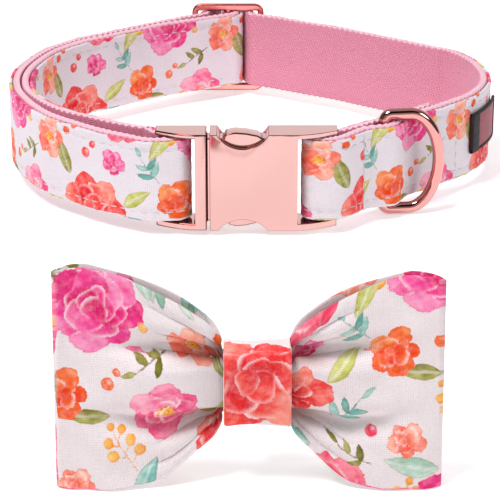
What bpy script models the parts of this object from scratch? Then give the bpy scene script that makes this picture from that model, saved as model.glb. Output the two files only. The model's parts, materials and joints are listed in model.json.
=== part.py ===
"""Pet collar standing on its lower edge, with its bow tie taken off and stood in front of it.

Metres, +Z up. The front of the collar looks along -Y. The model is built round the middle of the
buckle and then moved so that its origin is the middle of its box on the floor.
"""
import math

import bmesh
import bpy
from mathutils import Vector

# Strap: a ribbon of webbing with a cotton cover on its outer side
STRAP_WIDTH = 0.0250
STRAP_LIFT = 0.0037
WEBBING_THICK = 0.0020
COVER_THICK = 0.0010
COVER_INSET = 0.0005
GAP = 0.0003
LAYER_GAP = 0.0006
STATION_STEP = 0.0040
TURN_STEPS = 9

# Plan of the collar, between the two buckle bars and the slider
LOOP_HALF_WIDTH = 0.07065
LOOP_DEPTH = 0.1260
LEFT_SLACK = 0.0055
LEFT_SLACK_START = 0.0110
LEFT_SLACK_END = 0.0720

# Buckle
BUCKLE_LENGTH = 0.0518
BUCKLE_THICK = 0.0090
BUCKLE_END_THICK = 0.0048
BUCKLE_ARM = 0.0013
BUCKLE_LOWER_ARM = 0.0020
BUCKLE_BAR_RADIUS = 0.0015
BUCKLE_BAR_FROM_END = 0.0052
BUCKLE_BAR_SET_BACK = 0.0013
PLATE_TO_FOLD = 0.0010
TONGUE_PLATE = 0.0033
TONGUE_WINDOW = 0.0130
SEAM = 0.0009
HOUSING_WALL = 0.0016
SCOOP_WIDTH = 0.0146
SCOOP_DEPTH = 0.0043
LOWER_SCOOP_DEPTH = 0.0034
SCOOP_FROM_SEAM = 0.0094
BUTTON_LENGTH = 0.0108
LOWER_BUTTON_LENGTH = 0.0090
BUTTON_RISE = 0.0017

# Slider at the back
SLIDER_LENGTH = 0.0240
SLIDER_THICK = 0.0020
SLIDER_RAIL = 0.0023
SLIDER_BAR = 0.0020
SLIDER_CORNER = 0.0030
SLIDER_ASIDE = 0.00635

# D-ring in the doubled strap at the right
RING_WIRE = 0.0034
RING_REACH = 0.0162
RING_STRAIGHT = 0.0075
RING_CORNER = 0.0020
RING_ALONG = 0.0230
RING_BAR_OUTWARD = 0.0014
RING_TURN_OUT = 34.0
STRAP_END_BEYOND_RING = 0.0230
RING_SIDES = 10

# Label on the outer face at the right end
LABEL_LENGTH = 0.0200
LABEL_HEIGHT = 0.0125
LABEL_THICK = 0.0010
LABEL_ALONG = 0.0590
LABEL_RAISE = 0.0010

# Bow tie
BOW_LEFT = 0.0442
BOW_RIGHT = 0.0404
BOW_HEIGHT = 0.0503
BOW_RIGHT_LOWER = 0.04
WAIST_DROP = 0.0019
BOW_DEPTH = 0.0105
BOW_WALL = 0.0016
BOW_CLOSE = 0.25
BOW_SPREAD = 0.53
BOW_LEAN = 0.05
BOW_ASIDE = 0.0027
BOW_AHEAD = 0.1530
PLEAT_DEPTH = 0.0024
PLEAT_HALF_HEIGHT = 0.0062
PLEAT_RIDGE = 1.6
PLEAT_EDGE = 0.9
BOW_ROWS = 14
KNOT_WIDTH = 0.0151
KNOT_HEIGHT = 0.0190
KNOT_DEPTH = 0.0112
KNOT_WALL = 0.0015
KNOT_WAIST = 0.0008
KNOT_CORNER = 0.0028
ELASTIC_WIDTH = 0.0090
ELASTIC_THICK = 0.0012
ELASTIC_STAND = 0.0044
ELASTIC_HEIGHT = 0.0128

# Rows of the plan: side as a share of the width beyond a buckle bar, back as a share of the depth
LEFT_PLAN = [
    (0.000, 0.000), (0.137, -0.012), (0.271, 0.011), (0.416, 0.049), (0.560, 0.100), (0.705, 0.157),
    (0.810, 0.223), (0.883, 0.287), (0.937, 0.352), (0.966, 0.440), (0.954, 0.521), (0.905, 0.600),
    (0.827, 0.680), (0.733, 0.735), (0.620, 0.785), (0.516, 0.815), (0.436, 0.843), (0.360, 0.866),
    (0.280, 0.892), (0.194, 0.918), (0.034, 0.964),
]
RIGHT_PLAN = [
    (0.000, 0.000), (0.079, 0.000), (0.172, 0.031), (0.265, 0.067), (0.376, 0.107), (0.491, 0.149),
    (0.719, 0.235), (0.879, 0.304), (0.952, 0.355), (1.000, 0.411), (1.013, 0.475), (0.995, 0.542),
    (0.951, 0.603), (0.899, 0.643), (0.839, 0.675), (0.769, 0.693), (0.625, 0.738), (0.472, 0.785),
    (0.318, 0.831), (0.162, 0.878), (0.000, 0.917), (-0.158, 0.957),
]

# Rows of a bow wing: reach, half gap, half height and pleat, each as a share of its named size
BOW_WING = [
    (0.000, 0.26, 0.265, 0.20), (0.090, 0.26, 0.265, 0.24), (0.188, 0.27, 0.270, 0.45),
    (0.208, 0.31, 0.490, 0.72), (0.255, 0.39, 0.595, 0.95), (0.320, 0.49, 0.665, 1.12),
    (0.400, 0.64, 0.755, 1.35), (0.500, 0.80, 0.850, 1.25), (0.620, 0.92, 0.925, 0.85),
    (0.740, 1.00, 0.970, 0.40), (0.860, 1.00, 0.995, 0.10), (0.930, 0.88, 1.000, 0.00),
    (0.975, 0.60, 1.000, 0.00), (1.000, 0.00, 1.000, 0.00),
]

WEBBING_PINK = (0.80, 0.33, 0.46, 1.0)
COVER_WHITE = (0.84, 0.78, 0.83, 1.0)
ROSE_GOLD = (0.86, 0.56, 0.50, 1.0)
SLIDER_CORAL = (0.84, 0.40, 0.36, 1.0)
LABEL_BROWN = (0.30, 0.17, 0.17, 1.0)
ELASTIC_WHITE = (0.80, 0.76, 0.78, 1.0)

# Sizes that follow from the ones above
HALF_LAYER = LAYER_GAP / 2 + WEBBING_THICK + GAP / 2
FOLD_RADIUS = BUCKLE_BAR_RADIUS + GAP + WEBBING_THICK + GAP / 2
FOLD_OUTSIDE = FOLD_RADIUS + GAP / 2 + COVER_THICK
STRAP_TOP = STRAP_LIFT + STRAP_WIDTH
STRAP_MIDDLE = STRAP_LIFT + STRAP_WIDTH / 2
BAR_X = BUCKLE_LENGTH / 2 - BUCKLE_BAR_FROM_END
PLATE_EDGE = BAR_X - FOLD_OUTSIDE - PLATE_TO_FOLD
BUCKLE_TOP = STRAP_TOP + GAP + BUCKLE_ARM
BUCKLE_BASE = STRAP_LIFT - GAP - BUCKLE_LOWER_ARM
BUCKLE_FRONT = -BUCKLE_THICK / 2 - BUCKLE_BAR_SET_BACK
BUCKLE_BACK = BUCKLE_FRONT + BUCKLE_THICK
SLIDER_TOP = STRAP_TOP + GAP + SLIDER_RAIL
SLIDER_BASE = STRAP_LIFT - GAP - SLIDER_RAIL
SLIDER_Y = LOOP_DEPTH
SLIDER_UNDER = SLIDER_THICK / 2 + GAP + COVER_THICK + GAP / 2
LOOP_TURN = math.hypot(SLIDER_BAR, SLIDER_THICK) / 2 + GAP + WEBBING_THICK + GAP / 2
HUMP_TURN = LOOP_TURN + GAP / 2 + COVER_THICK + GAP + WEBBING_THICK + GAP / 2


def add_object(name, bm, color, roughness, metallic):
    """Close a bmesh into an object with its own plain material."""
    bmesh.ops.remove_doubles(bm, verts=bm.verts, dist=0.000001)
    bmesh.ops.recalc_face_normals(bm, faces=bm.faces)
    mesh = bpy.data.meshes.new(name)
    bm.to_mesh(mesh)
    bm.free()
    material = bpy.data.materials.new(name)
    material.use_nodes = True
    shader = material.node_tree.nodes["Principled BSDF"]
    shader.inputs["Base Color"].default_value = color
    shader.inputs["Roughness"].default_value = roughness
    shader.inputs["Metallic"].default_value = metallic
    material.diffuse_color = color
    mesh.materials.append(material)
    obj = bpy.data.objects.new(name, mesh)
    bpy.context.scene.collection.objects.link(obj)
    return obj


def skin(rings, closed):
    """Join rings of points, all with as many points, into one skinned body."""
    bm = bmesh.new()
    loops = [[bm.verts.new(point) for point in ring] for ring in rings]
    count = len(loops[0])
    last = len(loops) if closed else len(loops) - 1
    for index in range(last):
        ring = loops[index]
        following = loops[(index + 1) % len(loops)]
        for corner in range(count):
            beside = (corner + 1) % count
            bm.faces.new((ring[corner], ring[beside], following[beside], following[corner]))
    if not closed:
        bm.faces.new(loops[0])
        bm.faces.new(list(reversed(loops[-1])))
    return bm


def curve_through(points, step):
    """Read a centripetal Catmull-Rom curve through points, at even steps along it."""
    ends = [points[0] * 2 - points[1]] + points + [points[-1] * 2 - points[-2]]
    dense = []
    for index in range(1, len(ends) - 2):
        before, start, end, after = ends[index - 1:index + 3]
        knots = [0.0]
        for first, second in ((before, start), (start, end), (end, after)):
            knots.append(knots[-1] + math.sqrt((second - first).length))
        for part in range(16):
            at = knots[1] + (knots[2] - knots[1]) * part / 16
            a1 = before.lerp(start, (at - knots[0]) / (knots[1] - knots[0]))
            a2 = start.lerp(end, (at - knots[1]) / (knots[2] - knots[1]))
            a3 = end.lerp(after, (at - knots[2]) / (knots[3] - knots[2]))
            b1 = a1.lerp(a2, (at - knots[0]) / (knots[2] - knots[0]))
            b2 = a2.lerp(a3, (at - knots[1]) / (knots[3] - knots[1]))
            dense.append(b1.lerp(b2, (at - knots[1]) / (knots[2] - knots[1])))
    dense.append(points[-1].copy())
    return even_steps(dense, step)


def even_steps(points, step):
    """Read a chain of points again at even steps along it."""
    lengths = [0.0]
    for first, second in zip(points, points[1:]):
        lengths.append(lengths[-1] + (second - first).length)
    count = max(2, round(lengths[-1] / step))
    result = []
    index = 0
    for number in range(count + 1):
        goal = lengths[-1] * number / count
        while index < len(points) - 2 and lengths[index + 1] < goal:
            index += 1
        share = (goal - lengths[index]) / (lengths[index + 1] - lengths[index])
        result.append(points[index].lerp(points[index + 1], min(1.0, max(0.0, share))))
    return result


def right_normals(points):
    """The side that lies to the right when the chain of points is walked along."""
    result = []
    for index, point in enumerate(points):
        ahead = points[min(index + 1, len(points) - 1)]
        behind = points[max(index - 1, 0)]
        way = (ahead - behind).normalized()
        result.append(Vector((way.y, -way.x)))
    return result


def run_lengths(points):
    """How far along the chain each point lies."""
    result = [0.0]
    for first, second in zip(points, points[1:]):
        result.append(result[-1] + (second - first).length)
    return result


def ease(value):
    """A smooth step from 0 to 1."""
    value = min(1.0, max(0.0, value))
    return value * value * (3 - 2 * value)


def arc(centre, radius, start, end, steps):
    """Points on an arc, from a start angle to an end angle in degrees."""
    result = []
    for step in range(steps + 1):
        angle = math.radians(start + (end - start) * step / steps)
        result.append(centre + Vector((math.cos(angle), math.sin(angle))) * radius)
    return result


def plan_middle(rows, side):
    """Middle line between the doubled layers, from a buckle bar to the slider's near end."""
    reach = LOOP_HALF_WIDTH - BAR_X
    flat = SLIDER_Y - SLIDER_UNDER - HALF_LAYER
    points = []
    for aside, back in rows:
        points.append(Vector((side * (BAR_X + aside * reach), back * flat)))
    slider_end = -SLIDER_ASIDE + side * (SLIDER_LENGTH / 2 - SLIDER_BAR / 2)
    points.append(Vector((slider_end, flat)))
    return curve_through(points, STATION_STEP)


def layer_offset(along):
    """Half the distance between the layers near a buckle bar, where they part round it."""
    closing = ease(along / (4 * FOLD_RADIUS))
    return FOLD_RADIUS + (HALF_LAYER - FOLD_RADIUS) * closing


def left_slack(along):
    """How far the inner layer stands off the outer one at the left of the buckle."""
    rise = ease(along / LEFT_SLACK_START)
    fall = ease((along - LEFT_SLACK_START) / (LEFT_SLACK_END - LEFT_SLACK_START))
    return LEFT_SLACK * rise * (1 - fall)


def ring_bulge(along):
    """How far the outer layer stands out to pass round the D-ring's bar."""
    room = RING_BAR_OUTWARD + RING_WIRE / 2 + GAP + WEBBING_THICK + GAP / 2 - HALF_LAYER
    return room * (1 - ease(abs(along - RING_ALONG) / (2.6 * RING_WIRE)))


def slider_hump():
    """Outer layer from the right: under the slider's bar, over the sewn loop, and down again."""
    bar_inside = SLIDER_LENGTH / 2 - SLIDER_BAR
    under = GAP + COVER_THICK + GAP / 2
    near_turn = under
    corner = Vector((bar_inside, -SLIDER_THICK / 2))
    span = corner.length
    lean = math.degrees(math.asin((near_turn + HUMP_TURN) / span))
    base = math.degrees(math.atan2(corner.y, corner.x))
    touch = base + 90 - lean
    rise = arc(Vector((0, 0)), HUMP_TURN, touch, 180 - touch, 2 * TURN_STEPS)
    first = arc(corner, near_turn, 270, touch + 180, TURN_STEPS)
    mirror = [Vector((-point.x, point.y)) for point in reversed(first)]
    centre = Vector((-SLIDER_ASIDE, SLIDER_Y))
    return [centre + point for point in first + rise + mirror]


def sewn_loop(arrival):
    """Inner layer's end: from its arrival it wraps round the slider's centre bar."""
    centre = Vector((-SLIDER_ASIDE, SLIDER_Y))
    wrap = arc(centre, LOOP_TURN, -75, 120, 2 * TURN_STEPS)
    run = curve_through([arrival, arrival.lerp(wrap[0], 0.5) + Vector((0, -0.0002)), wrap[0]],
                        STATION_STEP / 2)
    return run[1:-1] + wrap


def ribbon_path():
    """The strap's own path, webbing on its left and cover on its right as it is walked along."""
    right = plan_middle(RIGHT_PLAN, 1)
    left = plan_middle(LEFT_PLAN, -1)
    right_out = right_normals(right)
    left_out = [-normal for normal in right_normals(left)]
    right_run = run_lengths(right)
    left_run = run_lengths(left)
    strap_end = RING_ALONG + STRAP_END_BEYOND_RING

    path = []
    for point, out, along in reversed(list(zip(right, right_out, right_run))):
        if 0 < along < strap_end:
            path.append(point - out * layer_offset(along))
    bar = Vector((BAR_X, 0))
    start = math.degrees(math.atan2(-right_out[0].y, -right_out[0].x))
    path += arc(bar, FOLD_RADIUS, start, start + 180, 2 * TURN_STEPS)
    for point, out, along in zip(right, right_out, right_run):
        if along > 0:
            path.append(point + out * (layer_offset(along) + ring_bulge(along)))
    path.pop()
    path += slider_hump()
    outer_left = list(zip(left, left_out, left_run))[1:-1]
    for point, out, along in reversed(outer_left):
        path.append(point + out * layer_offset(along))
    bar = Vector((-BAR_X, 0))
    start = math.degrees(math.atan2(left_out[0].y, left_out[0].x))
    path += arc(bar, FOLD_RADIUS, start, start + 180, 2 * TURN_STEPS)
    for point, out, along in outer_left[:-2]:
        path.append(point - out * (layer_offset(along) + left_slack(along)))
    path += sewn_loop(path[-1])
    return path


def strip(path, near, far, bottom, top):
    """A band that follows a path on edge, between two distances to its right."""
    rings = []
    for point, side in zip(path, right_normals(path)):
        a = point + side * near
        b = point + side * far
        rings.append([(a.x, a.y, bottom), (b.x, b.y, bottom), (b.x, b.y, top), (a.x, a.y, top)])
    return skin(rings, False)


def extrude_outline(outline, low, high, flat):
    """Push an outline through a wall: flat is the axis that it is pushed along."""
    def place(a, b, depth):
        if flat == "z":
            return (a, b, depth)
        return (a, depth, b)
    rings = [[place(a, b, depth) for a, b in outline] for depth in (low, high)]
    return skin(rings, False)


def box(low, high):
    """A plain block between two corners."""
    outline = [(low[0], low[1]), (high[0], low[1]), (high[0], high[1]), (low[0], high[1])]
    return extrude_outline(outline, low[2], high[2], "z")


def upright_rod(x, y, radius, low, high, sides):
    """A round bar that stands between two heights."""
    outline = []
    for index in range(sides):
        angle = 2 * math.pi * (index + 0.5) / sides
        outline.append((x + radius * math.cos(angle), y + radius * math.sin(angle)))
    return extrude_outline(outline, low, high, "z")


def combine(obj, bm, operation):
    """Cut a shape out of an object, or fuse one to it."""
    mesh = bpy.data.meshes.new("tool")
    bmesh.ops.recalc_face_normals(bm, faces=bm.faces)
    bm.to_mesh(mesh)
    bm.free()
    tool = bpy.data.objects.new("tool", mesh)
    bpy.context.scene.collection.objects.link(tool)
    modifier = obj.modifiers.new("join", "BOOLEAN")
    modifier.operation = operation
    modifier.solver = "EXACT"
    modifier.object = tool
    depsgraph = bpy.context.evaluated_depsgraph_get()
    result = bpy.data.meshes.new_from_object(obj.evaluated_get(depsgraph))
    obj.modifiers.clear()
    obj.data = result
    bpy.data.objects.remove(tool)


def arm_outline(side, inner):
    """Half of the buckle seen from above: full thickness at its plate, thinner to its end."""
    end = BUCKLE_LENGTH / 2
    outline = [(side * inner, BUCKLE_BACK), (side * inner, BUCKLE_FRONT)]
    drop = BUCKLE_THICK - BUCKLE_END_THICK
    for step in range(7):
        share = step / 6
        x = PLATE_EDGE + (end - PLATE_EDGE) * share
        outline.append((side * x, BUCKLE_FRONT + drop * share ** 1.6))
    outline.append((side * end, BUCKLE_BACK))
    return outline


def cut_strap_slot(obj, side):
    """Open the slot that the strap's fold fills, and give it its bar."""
    x_near = side * PLATE_EDGE
    x_far = side * (BUCKLE_LENGTH / 2 + 0.01)
    low = (min(x_near, x_far), BUCKLE_FRONT - 0.01, STRAP_LIFT - GAP)
    high = (max(x_near, x_far), BUCKLE_BACK + 0.01, STRAP_TOP + GAP)
    combine(obj, box(low, high), "DIFFERENCE")
    low = BUCKLE_BASE + BUCKLE_LOWER_ARM / 2
    bar = upright_rod(side * BAR_X, 0, BUCKLE_BAR_RADIUS, low, BUCKLE_TOP - BUCKLE_ARM / 2, 12)
    combine(obj, bar, "UNION")


def scoop_outline(depth, level, way):
    """Circle that leaves a scoop of the named width and depth in an edge of the housing."""
    radius = ((SCOOP_WIDTH / 2) ** 2 + depth ** 2) / (2 * depth)
    x = housing_start() + SCOOP_FROM_SEAM
    outline = []
    for index in range(48):
        angle = 2 * math.pi * index / 48
        outline.append((x + radius * math.cos(angle),
                        level + way * (radius - depth) + radius * math.sin(angle)))
    return outline


def housing_start():
    """Left edge of the housing, where the seam ends."""
    return -PLATE_EDGE + TONGUE_PLATE + SEAM


def buckle_housing():
    outline = [(housing_start(), BUCKLE_BACK), (housing_start(), BUCKLE_FRONT)]
    outline += arm_outline(1, PLATE_EDGE)[2:]
    obj = add_object("buckle_housing", extrude_outline(outline, BUCKLE_BASE, BUCKLE_TOP, "z"), ROSE_GOLD, 0.14, 1.0)
    cut_strap_slot(obj, 1)
    cavity_low = (housing_start() - 0.01, BUCKLE_FRONT + HOUSING_WALL, BUCKLE_BASE + BUCKLE_LOWER_ARM)
    cavity_high = (PLATE_EDGE - HOUSING_WALL, BUCKLE_BACK - HOUSING_WALL, BUCKLE_TOP - BUCKLE_ARM)
    combine(obj, box(cavity_low, cavity_high), "DIFFERENCE")
    for depth, level, way in ((SCOOP_DEPTH, BUCKLE_TOP, 1), (LOWER_SCOOP_DEPTH, BUCKLE_BASE, -1)):
        outline = scoop_outline(depth, level, way)
        cutter = extrude_outline(outline, BUCKLE_FRONT - 0.01, BUCKLE_BACK + 0.01, "y")
        combine(obj, cutter, "DIFFERENCE")
    return obj


def tongue_edge(length):
    """One edge of the tongue, from its plate to its tip, with the squeeze button on it."""
    half = BUCKLE_TOP - STRAP_MIDDLE - BUCKLE_ARM - GAP
    button = housing_start() + SCOOP_FROM_SEAM - length / 2
    edge = [(-PLATE_EDGE + TONGUE_PLATE / 2, half), (button, half)]
    for share, rise in ((0.06, 0.72), (0.30, 1.0), (0.60, 0.85), (0.90, 0.45), (1.0, 0.0)):
        edge.append((button + length * share, half + BUTTON_RISE * rise))
    edge.append((PLATE_EDGE - HOUSING_WALL - 2 * GAP, half))
    return edge


def tongue_outline():
    """Tongue inside the housing, with a squeeze button on each edge."""
    outline = [(x, STRAP_MIDDLE + z) for x, z in tongue_edge(BUTTON_LENGTH)]
    outline += [(x, STRAP_MIDDLE - z) for x, z in reversed(tongue_edge(LOWER_BUTTON_LENGTH))]
    return outline


def buckle_tongue():
    plate = arm_outline(-1, PLATE_EDGE - TONGUE_PLATE)
    obj = add_object("buckle_tongue", extrude_outline(plate, BUCKLE_BASE, BUCKLE_TOP, "z"), ROSE_GOLD, 0.14, 1.0)
    cut_strap_slot(obj, -1)
    inset = HOUSING_WALL + GAP
    tongue = extrude_outline(tongue_outline(), BUCKLE_FRONT + inset, BUCKLE_BACK - inset, "y")
    combine(obj, tongue, "UNION")
    window_low = (housing_start() + 2 * HOUSING_WALL, BUCKLE_FRONT, STRAP_MIDDLE - TONGUE_WINDOW / 2)
    window_high = (PLATE_EDGE - 4 * HOUSING_WALL, BUCKLE_BACK, STRAP_MIDDLE + TONGUE_WINDOW / 2)
    combine(obj, box(window_low, window_high), "DIFFERENCE")
    return obj


def slider():
    """Flat frame with a centre bar; its corners are rounded."""
    half = SLIDER_LENGTH / 2
    outline = []
    top = SLIDER_TOP - SLIDER_CORNER
    base = SLIDER_BASE + SLIDER_CORNER
    for side, level, start in ((1, base, -90), (1, top, 0), (-1, top, 90), (-1, base, 180)):
        centre = Vector((side * (half - SLIDER_CORNER), level))
        outline += [tuple(point) for point in arc(centre, SLIDER_CORNER, start, start + 90, 4)]
    outline = [(x - SLIDER_ASIDE, z) for x, z in outline]
    low = SLIDER_Y - SLIDER_THICK / 2
    high = SLIDER_Y + SLIDER_THICK / 2
    obj = add_object("slider", extrude_outline(outline, low, high, "y"), SLIDER_CORAL, 0.2, 1.0)
    for side in (-1, 1):
        near = -SLIDER_ASIDE + side * SLIDER_BAR / 2
        far = -SLIDER_ASIDE + side * (half - SLIDER_BAR)
        slot = box((min(near, far), low - SLIDER_THICK, STRAP_LIFT - GAP),
                   (max(near, far), high + SLIDER_THICK, STRAP_TOP + GAP))
        combine(obj, slot, "DIFFERENCE")
    return obj


def ring_place():
    """Where the D-ring's bar stands, and the way along the strap there, in plan."""
    middle = plan_middle(RIGHT_PLAN, 1)
    outs = right_normals(middle)
    runs = run_lengths(middle)
    index = min(range(len(runs)), key=lambda number: abs(runs[number] - RING_ALONG))
    share = (RING_ALONG - runs[index]) / (runs[index + 1] - runs[index])
    point = middle[index].lerp(middle[index + 1], share)
    out = outs[index]
    return point + out * RING_BAR_OUTWARD, Vector((-out.y, out.x))


def d_ring():
    """Bent wire ring; its bar is the hinge, so its origin is on the bar."""
    half = STRAP_WIDTH / 2 + GAP + RING_WIRE / 2
    curve = half - RING_CORNER
    outline = [Vector((0, 0)), Vector((0, curve * 0.5))]
    outline += arc(Vector((RING_CORNER, curve)), RING_CORNER, 180, 90, 4)
    reach = RING_REACH - RING_STRAIGHT
    for step in range(11):
        angle = math.pi / 2 * step / 10
        outline.append(Vector((RING_STRAIGHT + reach * math.sin(angle), half * math.cos(angle))))
    lower = [Vector((point.x, -point.y)) for point in reversed(outline[1:-1])]
    outline += lower
    rings = []
    for index, point in enumerate(outline):
        way = (outline[(index + 1) % len(outline)] - outline[index - 1]).normalized()
        side = Vector((way.y, -way.x))
        ring = []
        for corner in range(RING_SIDES):
            angle = 2 * math.pi * corner / RING_SIDES
            flat = point + side * (RING_WIRE / 2 * math.cos(angle))
            ring.append((flat.x, RING_WIRE / 2 * math.sin(angle), flat.y))
        rings.append(ring)
    obj = add_object("d_ring", skin(rings, True), ROSE_GOLD, 0.12, 1.0)
    place, way = ring_place()
    obj.location = (place.x, place.y, STRAP_MIDDLE)
    obj.rotation_euler = (0, 0, math.atan2(way.y, way.x) - math.radians(RING_TURN_OUT))
    return obj


def label():
    """Plain curved plate on the strap's outer face."""
    middle = plan_middle(RIGHT_PLAN, 1)
    runs = run_lengths(middle)
    part = []
    for point, out, along in zip(middle, right_normals(middle), runs):
        if LABEL_ALONG <= along <= LABEL_ALONG + LABEL_LENGTH:
            part.append(point + out * HALF_LAYER)
    near = GAP / 2 + COVER_THICK + GAP
    low = STRAP_MIDDLE + LABEL_RAISE - LABEL_HEIGHT / 2
    band = strip(part, near, near + LABEL_THICK, low, low + LABEL_HEIGHT)
    return add_object("label", band, LABEL_BROWN, 0.5, 0.0)


def bow_pleat(z):
    """Forward ridge along the middle of a wing, with a valley above and below it."""
    share = abs(z) / PLEAT_HALF_HEIGHT
    ridge = 1 - ease((share - 0.55) / 0.75)
    edge = ease((share - 1.35) / 0.9)
    return PLEAT_RIDGE * ridge + PLEAT_EDGE * (edge - 1)


def bow_point(reach, gap, height, pleat, side, layer, row):
    """A point of the bow's wall; layer is -1 in front and 1 behind."""
    span = BOW_LEFT if side < 0 else BOW_RIGHT
    level = 2 * row / (BOW_ROWS - 1) - 1
    z = level * (BOW_HEIGHT / 2) * height
    widen = 1 - gap ** 2 * (BOW_CLOSE + BOW_SPREAD * level)
    y = layer * gap * BOW_DEPTH / 2 * widen
    y += layer * PLEAT_DEPTH * pleat * bow_pleat(z) * 0.5
    y += BOW_LEAN * (z + BOW_HEIGHT / 2) * gap
    if side > 0 and z > 0:
        z *= 1 - 2 * BOW_RIGHT_LOWER * reach
    z -= WAIST_DROP * (1 - ease((reach - 0.45) / 0.45))
    return Vector((side * reach * span, y, z + BOW_HEIGHT / 2))


def bow_stations():
    """Rows of the wing table taken once round the bow: front from left to right, then back."""
    right = [(row, 1) for row in BOW_WING]
    left = [(row, -1) for row in BOW_WING]
    front = [(row, side, -1) for row, side in list(reversed(left))[:-1] + right]
    back = [(row, side, 1) for row, side in list(reversed(right))[1:] + left[1:-1]]
    return front + back


def bow_loop():
    """One band of cloth, closed at both ends by folds and pinched at the middle."""
    lines = []
    for row, side, layer in bow_stations():
        line = [bow_point(*row, side, layer, number) for number in range(BOW_ROWS)]
        lines.append(line)
    rings = []
    count = len(lines)
    for index, line in enumerate(lines):
        outer = []
        inner = []
        for number, point in enumerate(line):
            way = lines[(index + 1) % count][number] - lines[index - 1][number]
            out = Vector((way.y, -way.x, 0)).normalized() * (BOW_WALL / 2)
            outer.append(point + out)
            inner.append(point - out)
        rings.append(outer + list(reversed(inner)))
    obj = add_object("bow_loop", skin(rings, True), COVER_WHITE, 0.85, 0.0)
    obj.location = (BOW_ASIDE, -BOW_AHEAD, 0)
    return obj


def knot_ring(x, half_depth, half_height, corner):
    """Rounded rectangle round the bow, as seen from its end."""
    points = []
    for side, level, start in ((1, 1, 0), (-1, 1, 90), (-1, -1, 180), (1, -1, 270)):
        centre = Vector((side * (half_depth - corner), level * (half_height - corner)))
        points += [Vector((x, p.x, p.y)) for p in arc(centre, corner, start, start + 90, 5)]
    return points


def bow_knot():
    """Cotton band round the pinch; a little slimmer between its edges."""
    outer = []
    inner = []
    for step in range(5):
        share = step / 4 * 2 - 1
        waist = KNOT_WAIST * (1 - share ** 2)
        x = share * KNOT_WIDTH / 2
        inside = KNOT_HEIGHT / 2 - KNOT_WALL - KNOT_WAIST
        outer.append(knot_ring(x, KNOT_DEPTH / 2, KNOT_HEIGHT / 2 - waist, KNOT_CORNER))
        inner.append(knot_ring(x, KNOT_DEPTH / 2 - KNOT_WALL, inside, KNOT_CORNER - KNOT_WALL))
    obj = add_object("bow_knot", skin(outer + list(reversed(inner)), True), COVER_WHITE, 0.85, 0.0)
    obj.location = (BOW_ASIDE, -BOW_AHEAD, BOW_HEIGHT / 2 - WAIST_DROP)
    return obj


def bow_elastic():
    """Flat elastic loop behind the knot, at rest; it stretches when the strap is passed through it."""
    half_depth = (ELASTIC_STAND - ELASTIC_THICK) / 2
    half_height = (ELASTIC_HEIGHT - ELASTIC_THICK) / 2
    middle = KNOT_DEPTH / 2 + GAP + ELASTIC_THICK / 2 + half_depth
    straight = half_height - half_depth
    path = arc(Vector((middle, straight)), half_depth, 180, 0, 8)
    path += arc(Vector((middle, -straight)), half_depth, 0, -180, 8)
    rings = []
    x = ELASTIC_WIDTH / 2
    for index, point in enumerate(path):
        way = path[(index + 1) % len(path)] - path[index - 1]
        side = Vector((way.y, -way.x)).normalized() * (ELASTIC_THICK / 2)
        a = point + side
        b = point - side
        rings.append([(-x, a.x, a.y), (x, a.x, a.y), (x, b.x, b.y), (-x, b.x, b.y)])
    obj = add_object("bow_elastic", skin(rings, True), ELASTIC_WHITE, 0.8, 0.0)
    obj.location = (BOW_ASIDE, -BOW_AHEAD, BOW_HEIGHT / 2 - WAIST_DROP)
    return obj


def centre_on_floor(objects):
    """Move everything so that the origin is the middle of the whole box, on the floor."""
    bpy.context.view_layer.update()
    corners = [obj.matrix_world @ vertex.co for obj in objects for vertex in obj.data.vertices]
    middle_x = (min(c.x for c in corners) + max(c.x for c in corners)) / 2
    middle_y = (min(c.y for c in corners) + max(c.y for c in corners)) / 2
    for obj in objects:
        obj.location.x -= middle_x
        obj.location.y -= middle_y


def main():
    for obj in list(bpy.data.objects):
        bpy.data.objects.remove(obj)
    path = ribbon_path()
    webbing = strip(path, -GAP / 2 - WEBBING_THICK, -GAP / 2, STRAP_LIFT, STRAP_TOP)
    cover = strip(path, GAP / 2, GAP / 2 + COVER_THICK, STRAP_LIFT + COVER_INSET, STRAP_TOP - COVER_INSET)
    objects = [
        add_object("webbing", webbing, WEBBING_PINK, 0.8, 0.0),
        add_object("cover", cover, COVER_WHITE, 0.85, 0.0),
        buckle_tongue(), buckle_housing(), slider(), d_ring(), label(),
        bow_loop(), bow_knot(), bow_elastic(),
    ]
    centre_on_floor(objects)


main()
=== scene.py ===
# %% [markdown]
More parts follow.
